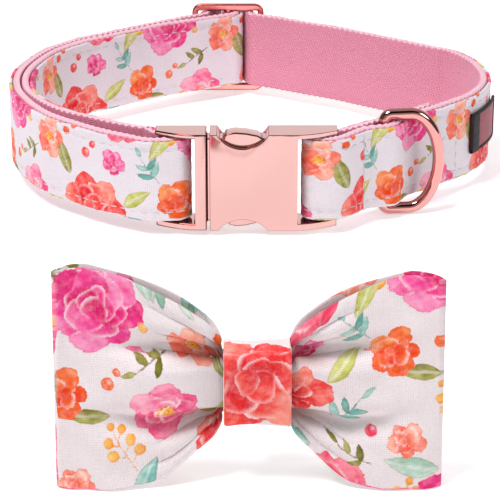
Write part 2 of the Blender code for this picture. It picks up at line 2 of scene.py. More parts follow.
# # A collar with its bow tie
#
# The frame is the imported model: plain solids in metres, with the moving bodies that the physics uses.
# Every piece made below lies where its solid lies, and either keeps that solid or stands in for it.

# %% Load the frame
import json
import math
import bmesh
import bpy
import numpy as np
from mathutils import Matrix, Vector


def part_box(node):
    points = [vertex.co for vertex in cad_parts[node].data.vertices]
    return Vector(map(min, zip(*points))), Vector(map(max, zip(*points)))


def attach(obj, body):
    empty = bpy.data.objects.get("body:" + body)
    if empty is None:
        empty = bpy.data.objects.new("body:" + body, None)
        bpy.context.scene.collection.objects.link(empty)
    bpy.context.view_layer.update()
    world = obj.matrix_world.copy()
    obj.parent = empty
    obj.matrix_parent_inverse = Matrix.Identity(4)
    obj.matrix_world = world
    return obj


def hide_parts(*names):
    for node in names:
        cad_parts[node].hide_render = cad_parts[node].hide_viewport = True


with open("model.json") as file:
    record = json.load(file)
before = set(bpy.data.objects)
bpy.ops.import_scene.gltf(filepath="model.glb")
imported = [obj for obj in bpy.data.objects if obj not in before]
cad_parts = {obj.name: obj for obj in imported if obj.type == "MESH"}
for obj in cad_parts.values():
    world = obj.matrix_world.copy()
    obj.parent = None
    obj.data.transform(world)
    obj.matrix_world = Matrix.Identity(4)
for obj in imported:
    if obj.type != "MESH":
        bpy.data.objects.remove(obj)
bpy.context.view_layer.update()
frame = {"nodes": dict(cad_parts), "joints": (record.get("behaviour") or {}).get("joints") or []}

print("frame loaded:", sorted(frame["nodes"]))

# %% [markdown]
# ## Camera
#
# The photograph looks down at the collar by about 22 degrees from some 60 cm away, with a long lens.
# The place and the lens come from the sizes of the strap near and far: the 25 mm strap is drawn
# larger at the front than at the back, and that ratio gives the distance.

# %% Camera
CAMERA_PLACE = (-0.00068, -0.59655, 0.2397)
CAMERA_DOWN_DEG = 22.025
FOCAL_PX = 2267.5
FRAME_PX = 500
SENSOR_MM = 36.0

camera_data = bpy.data.cameras.new("camera")
camera_data.sensor_width = SENSOR_MM
camera_data.lens = FOCAL_PX / FRAME_PX * SENSOR_MM
camera_data.clip_start = 0.01
camera = bpy.data.objects.new("camera", camera_data)
camera.location = CAMERA_PLACE
camera.rotation_euler = (math.radians(90 - CAMERA_DOWN_DEG), 0, 0)
bpy.context.scene.collection.objects.link(camera)
bpy.context.scene.camera = camera
print("camera lens in mm:", round(camera_data.lens, 1))

# %% [markdown]
# ## Helpers for shapes
#
# Cloth and webbing start flat, as they do on the cutting table: a grid made by one operator, whose
# rows then get their places along a path. The flat place of each point is kept as its UV in metres,
# so that a weave or a print follows the cloth round every bend.

# %% Shape helpers
MERGE_DISTANCE = 1e-6


def smooth_step(value):
    """0 below 0, 1 above 1, and a smooth curve between."""
    value = np.clip(value, 0.0, 1.0)
    return value * value * (3 - 2 * value)


def finish_mesh(name, bm, body, node, material, stands_in=True):
    """Make a bmesh an object with its finish, and hand it to the frame beside or for its solid."""
    mesh = bpy.data.meshes.new(name)
    bm.to_mesh(mesh)
    bm.free()
    mesh.shade_smooth()
    mesh.materials.append(material)
    obj = bpy.data.objects.new(name, mesh)
    bpy.context.scene.collection.objects.link(obj)
    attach(obj, body)
    if stands_in:
        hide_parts(node)
    return obj


def flat_grid(along, across):
    """Flat spot of every point, from its distances along and across the cloth."""
    return np.stack(np.broadcast_arrays(along[:, None], across[None, :]), axis=2)


def lay_sheet(places, flats, closed_along, closed_across):
    """A flat grid whose points move to places; flats holds each one's spot on the flat cloth."""
    count_along, count_across = places.shape[:2]
    bm = bmesh.new()
    bmesh.ops.create_grid(bm, x_segments=count_along - 1, y_segments=count_across - 1, size=0.5)
    uv = bm.loops.layers.uv.new("cloth")
    slots = {}
    for vert in bm.verts:
        i = round((vert.co.x + 0.5) * (count_along - 1))
        j = round((vert.co.y + 0.5) * (count_across - 1))
        slots[vert.index] = (i, j)
        vert.co = places[i, j]
    for face in bm.faces:
        for loop in face.loops:
            loop[uv].uv = flats[slots[loop.vert.index]]
    if closed_along or closed_across:
        bmesh.ops.remove_doubles(bm, verts=bm.verts, dist=MERGE_DISTANCE)
    if not closed_along:
        bmesh.ops.holes_fill(bm, edges=[edge for edge in bm.edges if edge.is_boundary])
    bmesh.ops.recalc_face_normals(bm, faces=bm.faces)
    return bm


# %% [markdown]
# ## Helpers for materials
#
# Colours are written as sRGB hex values, as a paint chart gives them, and turned to the linear
# values that the renderer mixes. One function adds any node, sets it and links it. The short ones
# below it stand for the few nodes that every finish here is built from, so that a material reads
# from top to bottom as a recipe.

# %% Material helpers
def linear(hex_colour):
    """sRGB hex to a linear colour with alpha."""
    parts = [int(hex_colour[i:i + 2], 16) / 255 for i in (1, 3, 5)]
    return tuple(p / 12.92 if p <= 0.04045 else ((p + 0.055) / 1.055) ** 2.4 for p in parts) + (1.0,)


def add_node(tree, kind, inputs=(), **settings):
    """Add a node. Inputs are (socket, output, number or hex colour); settings go by name."""
    node = tree.nodes.new(kind)
    for key, value in settings.items():
        if hasattr(node, key):
            setattr(node, key, value)
        else:
            node.inputs[key.replace("_", " ")].default_value = value
    for socket, value in inputs:
        if isinstance(value, bpy.types.NodeSocket):
            tree.links.new(value, node.inputs[socket])
        else:
            node.inputs[socket].default_value = linear(value) if isinstance(value, str) else value
    return node


def new_material(name, **sockets):
    """A material with its shader's own sockets set."""
    material = bpy.data.materials.new(name)
    material.use_nodes = True
    shader = material.node_tree.nodes["Principled BSDF"]
    for key, value in sockets.items():
        shader.inputs[key.replace("_", " ")].default_value = value
    return material, material.node_tree, shader


def noise(tree, place, scale, detail, dimensions="3D", **settings):
    """A cloudy value; scale is the count of its clouds in a metre."""
    return add_node(tree, "ShaderNodeTexNoise", [("Vector", place)], noise_dimensions=dimensions,
                    Scale=scale, Detail=detail, **settings).outputs["Fac"]


def remap(tree, value, from_min, from_max, to_min=0.0, to_max=1.0, curve="LINEAR"):
    """The stretch from_min to from_max of a value, moved to to_min to to_max."""
    return add_node(tree, "ShaderNodeMapRange", [("Value", value)], interpolation_type=curve,
                    From_Min=from_min, From_Max=from_max, To_Min=to_min, To_Max=to_max).outputs[0]


def calculate(tree, operation, *values):
    """The result of one sum on outputs or numbers."""
    return add_node(tree, "ShaderNodeMath", enumerate(values), operation=operation).outputs[0]


def blend(tree, share, first, second, blend_type="MIX"):
    """The colour between two outputs or hex colours."""
    return add_node(tree, "ShaderNodeMix", [(0, share), (6, first), (7, second)], data_type="RGBA",
                    blend_type=blend_type).outputs[2]


def emboss(tree, shader, height, strength, distance):
    """Relief of the surface from a height."""
    bump = add_node(tree, "ShaderNodeBump", [("Height", height)], Strength=strength, Distance=distance)
    tree.links.new(bump.outputs[0], shader.inputs["Normal"])


def object_spot(tree):
    """The object's own coordinates."""
    return add_node(tree, "ShaderNodeTexCoord").outputs["Object"]


def flat_spot(tree):
    """The spot on the flat cloth, in metres."""
    return add_node(tree, "ShaderNodeUVMap", uv_map="cloth").outputs["UV"]


def mottled(name, colour, other, scale, **sockets):
    """A material whose colour is uneven between two tones."""
    material, tree, shader = new_material(name, **sockets)
    share = remap(tree, noise(tree, object_spot(tree), scale, 4.0), 0.35, 0.65)
    tree.links.new(blend(tree, share, colour, other), shader.inputs["Base Color"])
    return material, tree, shader


# %% [markdown]
# ## Strap path
#
# One ribbon makes the whole strap. It starts at its cut end behind the right front, turns round the
# buckle's right bar, runs round the outside to the slider, on to the left bar, turns back inside,
# and ends sewn round the slider's middle bar. The plan is a smooth curve through a short table:
# how far aside and how far back each point lies, as shares of the collar's half width and depth.

# %% Strap sizes
STRAP_WIDTH = 0.0250
STRAP_LIFT = 0.0037
WEBBING_THICK = 0.0020
COVER_THICK = 0.0010
COVER_INSET = 0.0005
GAP = 0.0003
LAYER_GAP = 0.0006
BUCKLE_FRONT = 0.0058
tongue_low, tongue_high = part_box("buckle_tongue")
housing_low, housing_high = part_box("buckle_housing")
BUCKLE_MIDDLE = np.array(((tongue_low[0] + housing_high[0]) / 2, housing_low[1] + BUCKLE_FRONT))
BAR_X = 0.0207
BAR_RADIUS = 0.0015
LOOP_HALF_WIDTH = 0.07065
SLIDER_ASIDE = -0.00635
SLIDER_Y = 0.1260
SLIDER_HALF = 0.0120
SLIDER_BAR = 0.0020
SLIDER_THICK = 0.0020
LEFT_SLACK = 0.0055
LEFT_SLACK_START = 0.0110
LEFT_SLACK_END = 0.0720
RING_ALONG = 0.0230
RING_BAR_OUTWARD = 0.0014
RING_WIRE = 0.0034
STRAP_END = RING_ALONG + 0.0230
PATH_STEP = 0.0010
OUTER_TRIM = 0.004
INNER_TRIM = 0.012
WRAP_ANGLES = (-75, 120)
RUN_IN_SAG = (0, -0.0002)

HALF_LAYER = LAYER_GAP / 2 + WEBBING_THICK + GAP / 2
FOLD_RADIUS = BAR_RADIUS + GAP + WEBBING_THICK + GAP / 2
PARTING = 4 * FOLD_RADIUS
BULGE_REACH = 2.6 * RING_WIRE
FLAT_BACK = SLIDER_Y - SLIDER_THICK / 2 - GAP - COVER_THICK - GAP / 2 - HALF_LAYER
LOOP_TURN = math.hypot(SLIDER_BAR, SLIDER_THICK) / 2 + GAP + WEBBING_THICK + GAP / 2
HUMP_TURN = LOOP_TURN + GAP / 2 + COVER_THICK + GAP + WEBBING_THICK + GAP / 2

# Share of the half width beyond the bar, share of the depth
LEFT_PLAN = [
    (0.000, 0.000), (0.137, -0.012), (0.271, 0.011), (0.416, 0.049), (0.560, 0.100), (0.705, 0.157),
    (0.810, 0.223), (0.883, 0.287), (0.937, 0.352), (0.966, 0.440), (0.954, 0.521), (0.905, 0.600),
    (0.827, 0.680), (0.733, 0.735), (0.620, 0.785), (0.516, 0.815), (0.436, 0.843), (0.360, 0.866),
    (0.280, 0.892), (0.194, 0.918), (0.034, 0.964),
]
RIGHT_PLAN = [
    (0.000, 0.000), (0.079, 0.000), (0.172, 0.031), (0.265, 0.067), (0.376, 0.107), (0.491, 0.149),
    (0.719, 0.235), (0.879, 0.304), (0.952, 0.355), (1.000, 0.411), (1.013, 0.475), (0.995, 0.542),
    (0.951, 0.603), (0.899, 0.643), (0.839, 0.675), (0.769, 0.693), (0.625, 0.738), (0.472, 0.785),
    (0.318, 0.831), (0.162, 0.878), (0.000, 0.917), (-0.158, 0.957),
]


# %% Plan curves
SPAN_POINTS = 24


def run_of(points):
    """Distance walked to each point."""
    return np.concatenate([[0.0], np.cumsum(np.linalg.norm(np.diff(points, axis=0), axis=1))])


def resample(points, step):
    """The same chain of points at even steps."""
    run = run_of(points)
    even = np.linspace(0, run[-1], max(2, round(run[-1] / step)) + 1)
    return np.stack([np.interp(even, run, points[:, axis]) for axis in range(points.shape[1])], axis=1)


def smooth_chain(points, step):
    """Centripetal curve through points, which neither loops nor overshoots at uneven spacing."""
    points = np.asarray(points, float)
    ends = np.vstack([2 * points[0] - points[1], points, 2 * points[-1] - points[-2]])
    dense = []
    for p0, p1, p2, p3 in zip(ends, ends[1:], ends[2:], ends[3:]):
        t1 = math.sqrt(np.linalg.norm(p1 - p0))
        t2 = t1 + math.sqrt(np.linalg.norm(p2 - p1))
        t3 = t2 + math.sqrt(np.linalg.norm(p3 - p2))
        t = np.linspace(t1, t2, SPAN_POINTS, endpoint=False)[:, None]
        a1 = p0 + (p1 - p0) * t / t1
        a2 = p1 + (p2 - p1) * (t - t1) / (t2 - t1)
        a3 = p2 + (p3 - p2) * (t - t2) / (t3 - t2)
        b1 = a1 + (a2 - a1) * t / t2
        b2 = a2 + (a3 - a2) * (t - t1) / (t3 - t1)
        dense.append(b1 + (b2 - b1) * (t - t1) / (t2 - t1))
    return resample(np.vstack(dense + [points[-1:]]), step)


def right_of(points):
    """Unit vectors to the right of the way along the chain."""
    way = np.gradient(points, axis=0)
    way /= np.linalg.norm(way, axis=1)[:, None]
    return np.stack([way[:, 1], -way[:, 0]], axis=1)


def turn_about(centre, radius, start, end):
    """Points round an arc, angles in degrees, about one for each path step."""
    count = max(8, round(abs(end - start) * math.pi / 180 * radius / PATH_STEP * 2))
    angles = np.radians(np.linspace(start, end, count))
    return np.asarray(centre) + radius * np.stack([np.cos(angles), np.sin(angles)], axis=1)


def plan_middle(rows, side):
    """Middle line between the two layers, from a buckle bar to the slider's near end."""
    reach = LOOP_HALF_WIDTH - BAR_X
    points = [(side * (BAR_X + aside * reach), back * FLAT_BACK) for aside, back in rows]
    points.append((SLIDER_ASIDE + side * (SLIDER_HALF - SLIDER_BAR / 2), FLAT_BACK))
    return smooth_chain(points, PATH_STEP)


# %% Ribbon path
def layer_offset(along):
    """Half the distance between the layers, larger where they part round a bar."""
    return FOLD_RADIUS + (HALF_LAYER - FOLD_RADIUS) * smooth_step(along / PARTING)


def left_slack(along):
    """Room between the two layers left of the buckle."""
    fall = smooth_step((along - LEFT_SLACK_START) / (LEFT_SLACK_END - LEFT_SLACK_START))
    return LEFT_SLACK * smooth_step(along / LEFT_SLACK_START) * (1 - fall)


def ring_bulge(along):
    """Where the outer layer passes over the D-ring's bar."""
    room = RING_BAR_OUTWARD + RING_WIRE / 2 + GAP + WEBBING_THICK + GAP / 2 - HALF_LAYER
    return room * (1 - smooth_step(np.abs(along - RING_ALONG) / BULGE_REACH))


def slider_hump():
    """The outer layer under the slider's side bars and over the sewn loop between them."""
    near = GAP + COVER_THICK + GAP / 2
    corner = np.array((SLIDER_HALF - SLIDER_BAR, -SLIDER_THICK / 2))
    lean = math.degrees(math.asin((near + HUMP_TURN) / np.linalg.norm(corner)))
    touch = math.degrees(math.atan2(corner[1], corner[0])) + 90 - lean
    rise = turn_about((0, 0), HUMP_TURN, touch, 180 - touch)
    first = turn_about(corner, near, 270, touch + 180)
    last = first[::-1] * (-1, 1)
    return np.vstack([first, rise, last]) + (SLIDER_ASIDE, SLIDER_Y)


def bar_fold(side, out):
    """Half turn round a buckle bar."""
    start = math.degrees(math.atan2(out[1], out[0]))
    return turn_about((side * BAR_X, 0), FOLD_RADIUS, start, start + 180)


def trimmed(points, run, trim):
    """A layer without its first point and its last stretch."""
    return points[(run > 0) & (run < run[-1] - trim)]


def ribbon():
    """The whole strap's path in plan, webbing on its left and cover on its right."""
    right, left = plan_middle(RIGHT_PLAN, 1), plan_middle(LEFT_PLAN, -1)
    right_out, left_out = right_of(right), -right_of(left)
    right_run, left_run = run_of(right), run_of(left)
    behind = right - right_out * layer_offset(right_run)[:, None]
    behind = behind[(right_run > 0) & (right_run < STRAP_END)][::-1]
    outer_right = right + right_out * (layer_offset(right_run) + ring_bulge(right_run))[:, None]
    outer_right = trimmed(outer_right, right_run, OUTER_TRIM)
    outer_left = trimmed(left + left_out * layer_offset(left_run)[:, None], left_run, OUTER_TRIM)[::-1]
    inner_left = left - left_out * (layer_offset(left_run) + left_slack(left_run))[:, None]
    inner_left = trimmed(inner_left, left_run, INNER_TRIM)
    wrap = turn_about((SLIDER_ASIDE, SLIDER_Y), LOOP_TURN, *WRAP_ANGLES)
    halfway = (inner_left[-1] + wrap[0]) / 2 + RUN_IN_SAG
    run_in = smooth_chain([inner_left[-1], halfway, wrap[0]], PATH_STEP)
    return np.vstack([behind, bar_fold(1, -right_out[0]), outer_right, slider_hump(), outer_left,
                      bar_fold(-1, left_out[0]), inner_left, run_in[1:-1], wrap]) + BUCKLE_MIDDLE


strap_path = resample(ribbon(), PATH_STEP)
strap_length = run_of(strap_path)[-1]
print("strap length in mm:", round(strap_length * 1000))

# %% [markdown]
# ## Cotton print
#
# The cover and the bow carry one print: loose blooms, leaves, berry sprigs and dots in water-colour
# on a nearly white ground. The repeat is charted in the table below, in millimetres on the
# flat cloth. For every point of the mesh the script works out the nearest motif, its tint there, and
# how far the point lies inside or outside its edge. The tint and that distance are kept on the mesh.
# The distance gives a crisp edge in the material, finer than the mesh itself.

# %% Print chart
REPEAT = (64.0, 50.0)
# Deep, middle and pale wash of each paint
PAINTS = {
    "coral": ("#E0202C", "#F04A46", "#F79A8A"), "rose": ("#D01C48", "#EC4068", "#F78EA0"),
    "magenta": ("#DC1C6E", "#F04696", "#F79AC4"), "pink": ("#EA4680", "#F574A0", "#FAB4C8"),
    "peach": ("#F0604A", "#F78C74", "#FBC0AC"), "orange": ("#E84414", "#F26C2C", "#F8A468"),
    "sage": ("#84B09C", "#A9CBB8", "#CFE2D6"), "teal": ("#4FA096", "#7FBDB4", "#B6DAD2"),
    "olive": ("#6F6E22", "#93923E", "#BCBC74"), "lime": ("#A4A83A", "#C0C462", "#DADC9C"),
    "amber": ("#EFA12E", "#F6BE5C", "#FBDA98"),
}
# Kind, across, up and size in mm, turn in degrees, count of petals or leaves, paint.
# An open bloom shows a heart of pollen.
MOTIFS = [
    ("sprig", 24.5, 7.0, 6.4, 38, 5, "teal"), ("sprig", 56.0, 38.5, 6.6, -25, 5, "sage"),
    ("sprig", 27.0, 26.5, 5.6, 118, 5, "teal"), ("sprig", 50.0, 22.0, 5.4, 205, 4, "olive"),
    ("leaf", 1.5, 24.0, 5.0, 112, 1, "olive"), ("leaf", 33.5, 43.5, 5.4, 160, 1, "sage"),
    ("leaf", 62.0, 4.0, 5.0, -40, 1, "lime"), ("leaf", 10.0, 41.0, 4.6, 205, 1, "teal"),
    ("leaf", 37.5, 12.0, 4.4, 170, 1, "olive"), ("leaf", 47.0, 47.0, 5.0, 60, 1, "teal"),
    ("spray", 31.0, 35.5, 6.0, 62, 6, "amber"), ("spray", 43.5, 4.5, 5.6, 108, 6, "amber"),
    ("spray", 3.0, 33.5, 5.2, 20, 5, "orange"),
    ("bloom", 11.0, 12.5, 9.0, 10, 6, "coral"), ("bloom", 42.5, 33.5, 8.8, 48, 7, "magenta"),
    ("open", 52.5, 11.0, 6.8, 80, 6, "pink"), ("bloom", 20.0, 37.5, 6.6, 25, 6, "rose"),
    ("bloom", 33.5, 17.0, 5.0, 30, 5, "orange"), ("open", 60.0, 27.5, 5.0, 5, 5, "peach"),
    ("bloom", 60.5, 46.5, 4.8, 15, 5, "coral"), ("bloom", 17.5, 25.5, 3.4, 50, 5, "magenta"),
    ("bloom", 33.5, 48.5, 3.6, 70, 5, "peach"), ("bloom", 5.5, 46.0, 4.6, 35, 5, "pink"),
    ("leaf", 24.0, 17.0, 4.4, 35, 1, "lime"), ("sprig", 22.0, 47.0, 4.8, 150, 4, "olive"),
    ("leaf", 52.5, 40.5, 4.4, 100, 1, "sage"), ("leaf", 29.5, 31.5, 4.6, 240, 1, "lime"),
    ("dot", 9.0, 26.5, 1.4, 0, 1, "coral"), ("dot", 11.2, 29.0, 1.0, 0, 1, "coral"),
    ("dot", 42.5, 18.0, 1.3, 0, 1, "orange"), ("dot", 44.6, 20.2, 0.9, 0, 1, "orange"),
    ("dot", 27.0, 1.0, 1.2, 0, 1, "rose"), ("dot", 51.0, 30.0, 1.0, 0, 1, "amber"),
]
EDGE_RANGE_MM = 1.5
SLIT_MM = 0.60
STROKE_MM = 9.0
MOTIF_REACH = 1.3
MOTIF_MARGIN_MM = 4
PRINT_SCALE = 1.16
KNOT_PRINT_SCALE = 1.5
FAR_OUTSIDE = -50.0
# Reach and radius of the petals as shares of the bloom's size, and how many petals fewer
WHORLS = ((0.60, 0.44, 0), (0.36, 0.36, 1), (0.15, 0.26, 3))


# %% Brush helpers
def ripple(x, y, size, phase):
    """A smooth uneven value from -1 to 1 whose bumps are about size across."""
    k = 2 * math.pi / size
    return (np.sin(k * (x + 0.4 * y) + phase) + np.sin(k * 1.37 * (y - 0.3 * x) + 2.1 * phase)
            + 0.6 * np.sin(k * 2.3 * (x * 0.6 + y) + 3.7 * phase)) / 2.6


def turned(x, y, degrees):
    """The same points seen from a motif turned by some degrees."""
    c, s = math.cos(math.radians(degrees)), math.sin(math.radians(degrees))
    return x * c + y * s, y * c - x * s


def leaf_field(x, y, half):
    """Depth inside a bent pointed leaf that runs from -half to half along x, and the place of its rib."""
    y = y - 0.05 * half * np.cos(math.pi * np.clip(x / half, -1, 1) / 2)
    along = np.clip((x / half + 1) / 2, 0, 1)
    width = half * 0.40 * np.sin(math.pi * along ** 0.8) ** 0.9
    return np.minimum(width - np.abs(y), half - np.abs(x)), np.abs(y) - 0.05 * half * (1 - along)


def stroke_field(x, y, x0, y0, x1, y1, radius):
    """Depth inside a round-ended brush stroke between two points."""
    dx, dy = x1 - x0, y1 - y0
    share = np.clip(((x - x0) * dx + (y - y0) * dy) / (dx * dx + dy * dy), 0, 1)
    return radius - np.hypot(x - x0 - share * dx, y - y0 - share * dy)


# %% [markdown]
# A bloom is painted as a painter does it: whorls of round petals, each laid over the last one, with
# thin bare slits left between them. Each petal has its own tone, deeper at its foot.

# %% Bloom painter
def paint_bloom(x, y, size, petals, phase):
    """Full bloom: depth inside it, share of bare paper, tone, and distance from its middle."""
    inside = np.full(len(x), FAR_OUTSIDE)
    tone = np.full(len(x), 0.5)
    bare = np.zeros(len(x))
    x = x + 0.06 * size * ripple(x, y, size * 1.3, phase)
    y = y + 0.06 * size * ripple(y, x, size * 1.1, phase + 2)
    for whorl, (reach, radius, fewer) in enumerate(WHORLS):
        count = petals - fewer
        for petal in range(count):
            angle = 2 * math.pi * (petal + 0.5 * whorl) / count + 0.7 * phase
            grow = 1 + 0.16 * math.sin(2.4 * petal + phase)
            px = x - reach * size * math.cos(angle)
            py = y - reach * size * math.sin(angle)
            depth = radius * size * grow - np.hypot(px, py)
            depth = depth * (1 + 0.10 * np.cos(5 * np.arctan2(py, px) + phase + petal))
            over = depth > 0
            stroke = np.clip(0.5 + 0.8 * ripple(x, y, STROKE_MM, 1.7 * phase + petal), 0, 1)
            slit = smooth_step(1 - depth / (SLIT_MM * (0.5 + stroke)))
            slit = slit * smooth_step((inside - 0.2) / 0.5)
            outward = (px * math.cos(angle) + py * math.sin(angle)) / (radius * size)
            shade = 0.42 + 0.34 * math.sin(1.9 * petal + 2.3 * whorl + phase) + 0.34 * outward - 0.12 * whorl
            tone = np.where(over, shade, tone)
            bare = np.where(over, 0.75 * slit * stroke, bare)
            inside = np.maximum(inside, depth)
    return inside, bare, tone, np.hypot(x, y) / size


# %% Painters of leaves and berries
def paint_leaf(x, y, size, count, phase):
    """One leaf with a pale rib."""
    inside, rib = leaf_field(x, y, size)
    bare = 0.45 * smooth_step(1 - np.abs(rib) / 0.3)
    return inside, bare, 0.35 + 0.5 * smooth_step(y / size + 0.5), 0 * x + 1


def paint_sprig(x, y, size, count, phase):
    """Leaves in pairs on a thin bent stem, the last one at its tip."""
    inside = stroke_field(x, y, -size, 0.0, size * 0.4, 0.14 * size, 0.17)
    tone = 0 * x + 0.1
    for leaf in range(count):
        side = 0 if leaf == count - 1 else (1 if leaf % 2 else -1)
        at = size * (-0.62 + 1.0 * (leaf // 2 * 2) / count) if side else size * 0.42
        half = size * (0.40 - 0.03 * leaf)
        lx, ly = turned(x - at, y - 0.1 * size, side * 52 + 8 * math.sin(phase + leaf))
        field, _ = leaf_field(lx - half * 0.95, ly, half)
        tone = np.where(field > 0, 0.45 + 0.4 * math.sin(1.7 * leaf + phase), tone)
        inside = np.maximum(inside, field)
    return inside, 0 * x, tone, 0 * x + 1


def paint_spray(x, y, size, count, phase):
    """Thin stem with a round berry at the end of each stalk."""
    inside = stroke_field(x, y, -size, 0.0, size * 0.5, 0.1 * size, 0.16)
    tone = 0 * x + 0.2
    for berry in range(count):
        share = berry / (count - 1)
        side = (1 if berry % 2 else -1) * (0 if berry == count - 1 else 1)
        bx = size * (-0.30 + 1.15 * share)
        by = side * size * (0.46 - 0.22 * share) + 0.1 * size * share
        radius = size * (0.21 - 0.07 * share)
        stalk = stroke_field(x, y, bx - 0.32 * size, 0.1 * size * share, bx, by, 0.13)
        field = radius - np.hypot((x - bx) * 0.9, y - by)
        shade = 0.35 + 0.4 * ((x - bx) + (y - by)) / (2 * radius) + 0.2 * math.sin(berry)
        tone = np.where(field > 0, shade, tone)
        inside = np.maximum(inside, np.maximum(field, stalk))
    return inside, 0 * x, tone, 0 * x + 1


def paint_dot(x, y, size, count, phase):
    """Small round berry with a light spot."""
    r = np.hypot(x, y)
    light = smooth_step(1 - np.hypot(x - size * 0.3, y - size * 0.3) / (0.6 * size))
    return size - r, 0.6 * light, 0.3 + 0.3 * r / size, 0 * r + 1


# %% Print on cloth
PAINTERS = {"bloom": paint_bloom, "open": paint_bloom, "leaf": paint_leaf, "sprig": paint_sprig,
            "spray": paint_spray, "dot": paint_dot}


def paint_rgb(hex_colour):
    """Linear red, green and blue of a hex colour."""
    return np.array(linear(hex_colour)[:3])


PAPER = paint_rgb("#FBF0F1")
POLLEN = paint_rgb("#F9B53A")
POLLEN_DEEP = paint_rgb("#A8421C")


def wash_of(paint, tone):
    """Colour of a paint at tones from 0, deep, to 1, pale."""
    deep, middle, pale = (paint_rgb(colour) for colour in PAINTS[paint])
    return np.where(tone < 0.5, deep + (middle - deep) * tone * 2, middle + (pale - middle) * (tone * 2 - 1))


def print_on(flat_mm):
    """Tint and edge distance of the print at flat points, as linear colour and a 0 to 1 alpha."""
    u, v = flat_mm[:, 0], flat_mm[:, 1]
    tint = np.ones((len(u), 3))
    best = np.full(len(u), FAR_OUTSIDE)
    for number, (kind, across, up, size, turn, count, paint) in enumerate(MOTIFS):
        dx = (u - across + REPEAT[0] / 2) % REPEAT[0] - REPEAT[0] / 2
        dy = (v - up + REPEAT[1] / 2) % REPEAT[1] - REPEAT[1] / 2
        near = np.flatnonzero(np.hypot(dx, dy) < MOTIF_REACH * size + MOTIF_MARGIN_MM)
        dx, dy = dx[near], dy[near]
        x, y = turned(dx, dy, turn)
        painter = PAINTERS[kind]
        inside, bare, tone, share = painter(x, y, size, count, number)
        rough = 0.20 if painter is paint_bloom else 0.05
        inside = inside + rough * (ripple(dx, dy, 2.6, number) + 0.5 * ripple(dx, dy, 1.1, number + 5))
        tone = tone + 0.26 * ripple(dx, dy, size * 0.8, number + 2) + 0.12 * ripple(dx, dy, 1.9, number + 3)
        colour = wash_of(paint, np.clip(tone, 0, 1)[:, None])
        if kind == "open":
            grain = smooth_step(ripple(dx, dy, 0.9, number) * 1.5 - 0.2)[:, None]
            pollen = POLLEN * (1 - grain) + POLLEN_DEEP * grain
            core = smooth_step((0.30 - share + 0.05 * ripple(dx, dy, 1.6, number)) / 0.10)[:, None]
            colour = colour * (1 - core) + pollen * core
        colour = colour + (PAPER - colour) * np.clip(bare, 0, 1)[:, None]
        take = (inside > 0) | (inside > best[near])
        tint[near[take]] = colour[take]
        best[near[take]] = inside[take]
    alpha = np.clip(0.5 + best / (2 * EDGE_RANGE_MM), 0, 1)
    return np.column_stack([np.clip(tint, 0, 1), alpha])


def flat_spots(mesh):
    """Each point's spot on the flat cloth in metres."""
    flat = np.zeros(len(mesh.loops) * 2)
    mesh.uv_layers["cloth"].data.foreach_get("uv", flat)
    owner = np.zeros(len(mesh.loops), int)
    mesh.loops.foreach_get("vertex_index", owner)
    spots = np.zeros((len(mesh.vertices), 2))
    spots[owner] = flat.reshape(-1, 2)
    return spots


def print_cloth(obj, offset_mm, scale, turn_deg=0.0):
    """Keep the print on the mesh, read at each point's flat spot."""
    mesh = obj.data
    spots = flat_spots(mesh) * 1000 / scale
    colours = print_on(np.column_stack(turned(spots[:, 0], spots[:, 1], turn_deg)) + offset_mm)
    layer = mesh.color_attributes.new("print", "FLOAT_COLOR", "POINT")
    layer.data.foreach_set("color", colours.ravel())
    print(obj.name, "printed; share of ground", round(float((colours[:, 3] < 0.5).mean()), 2))


# %% [markdown]
# ## Printed cotton material
#
# Cotton poplin is a close plain weave with a soft, dull surface. Real threads are about 0.25 mm
# apart, too fine for this picture, so the weave is drawn at 0.5 mm, with painted shade in its hollows. The
# paint of the print pools a little towards its edges and is uneven inside, which two noises and the edge
# distance give. The bow's cloth is a shade warmer than the cover's. Its deep folds, kept as an attribute, are
# darkened with painted shade.

# %% Printed cotton
# A wave texture of scale 1 repeats after this length
WAVE_PERIOD = 2 * math.pi / 20
THREAD_STEP = 0.0005


def waves(tree, place, direction, step, **settings):
    """Even bands, one to each step in metres."""
    return add_node(tree, "ShaderNodeTexWave", [("Vector", place)], bands_direction=direction,
                    Scale=WAVE_PERIOD / step, **settings).outputs["Fac"]


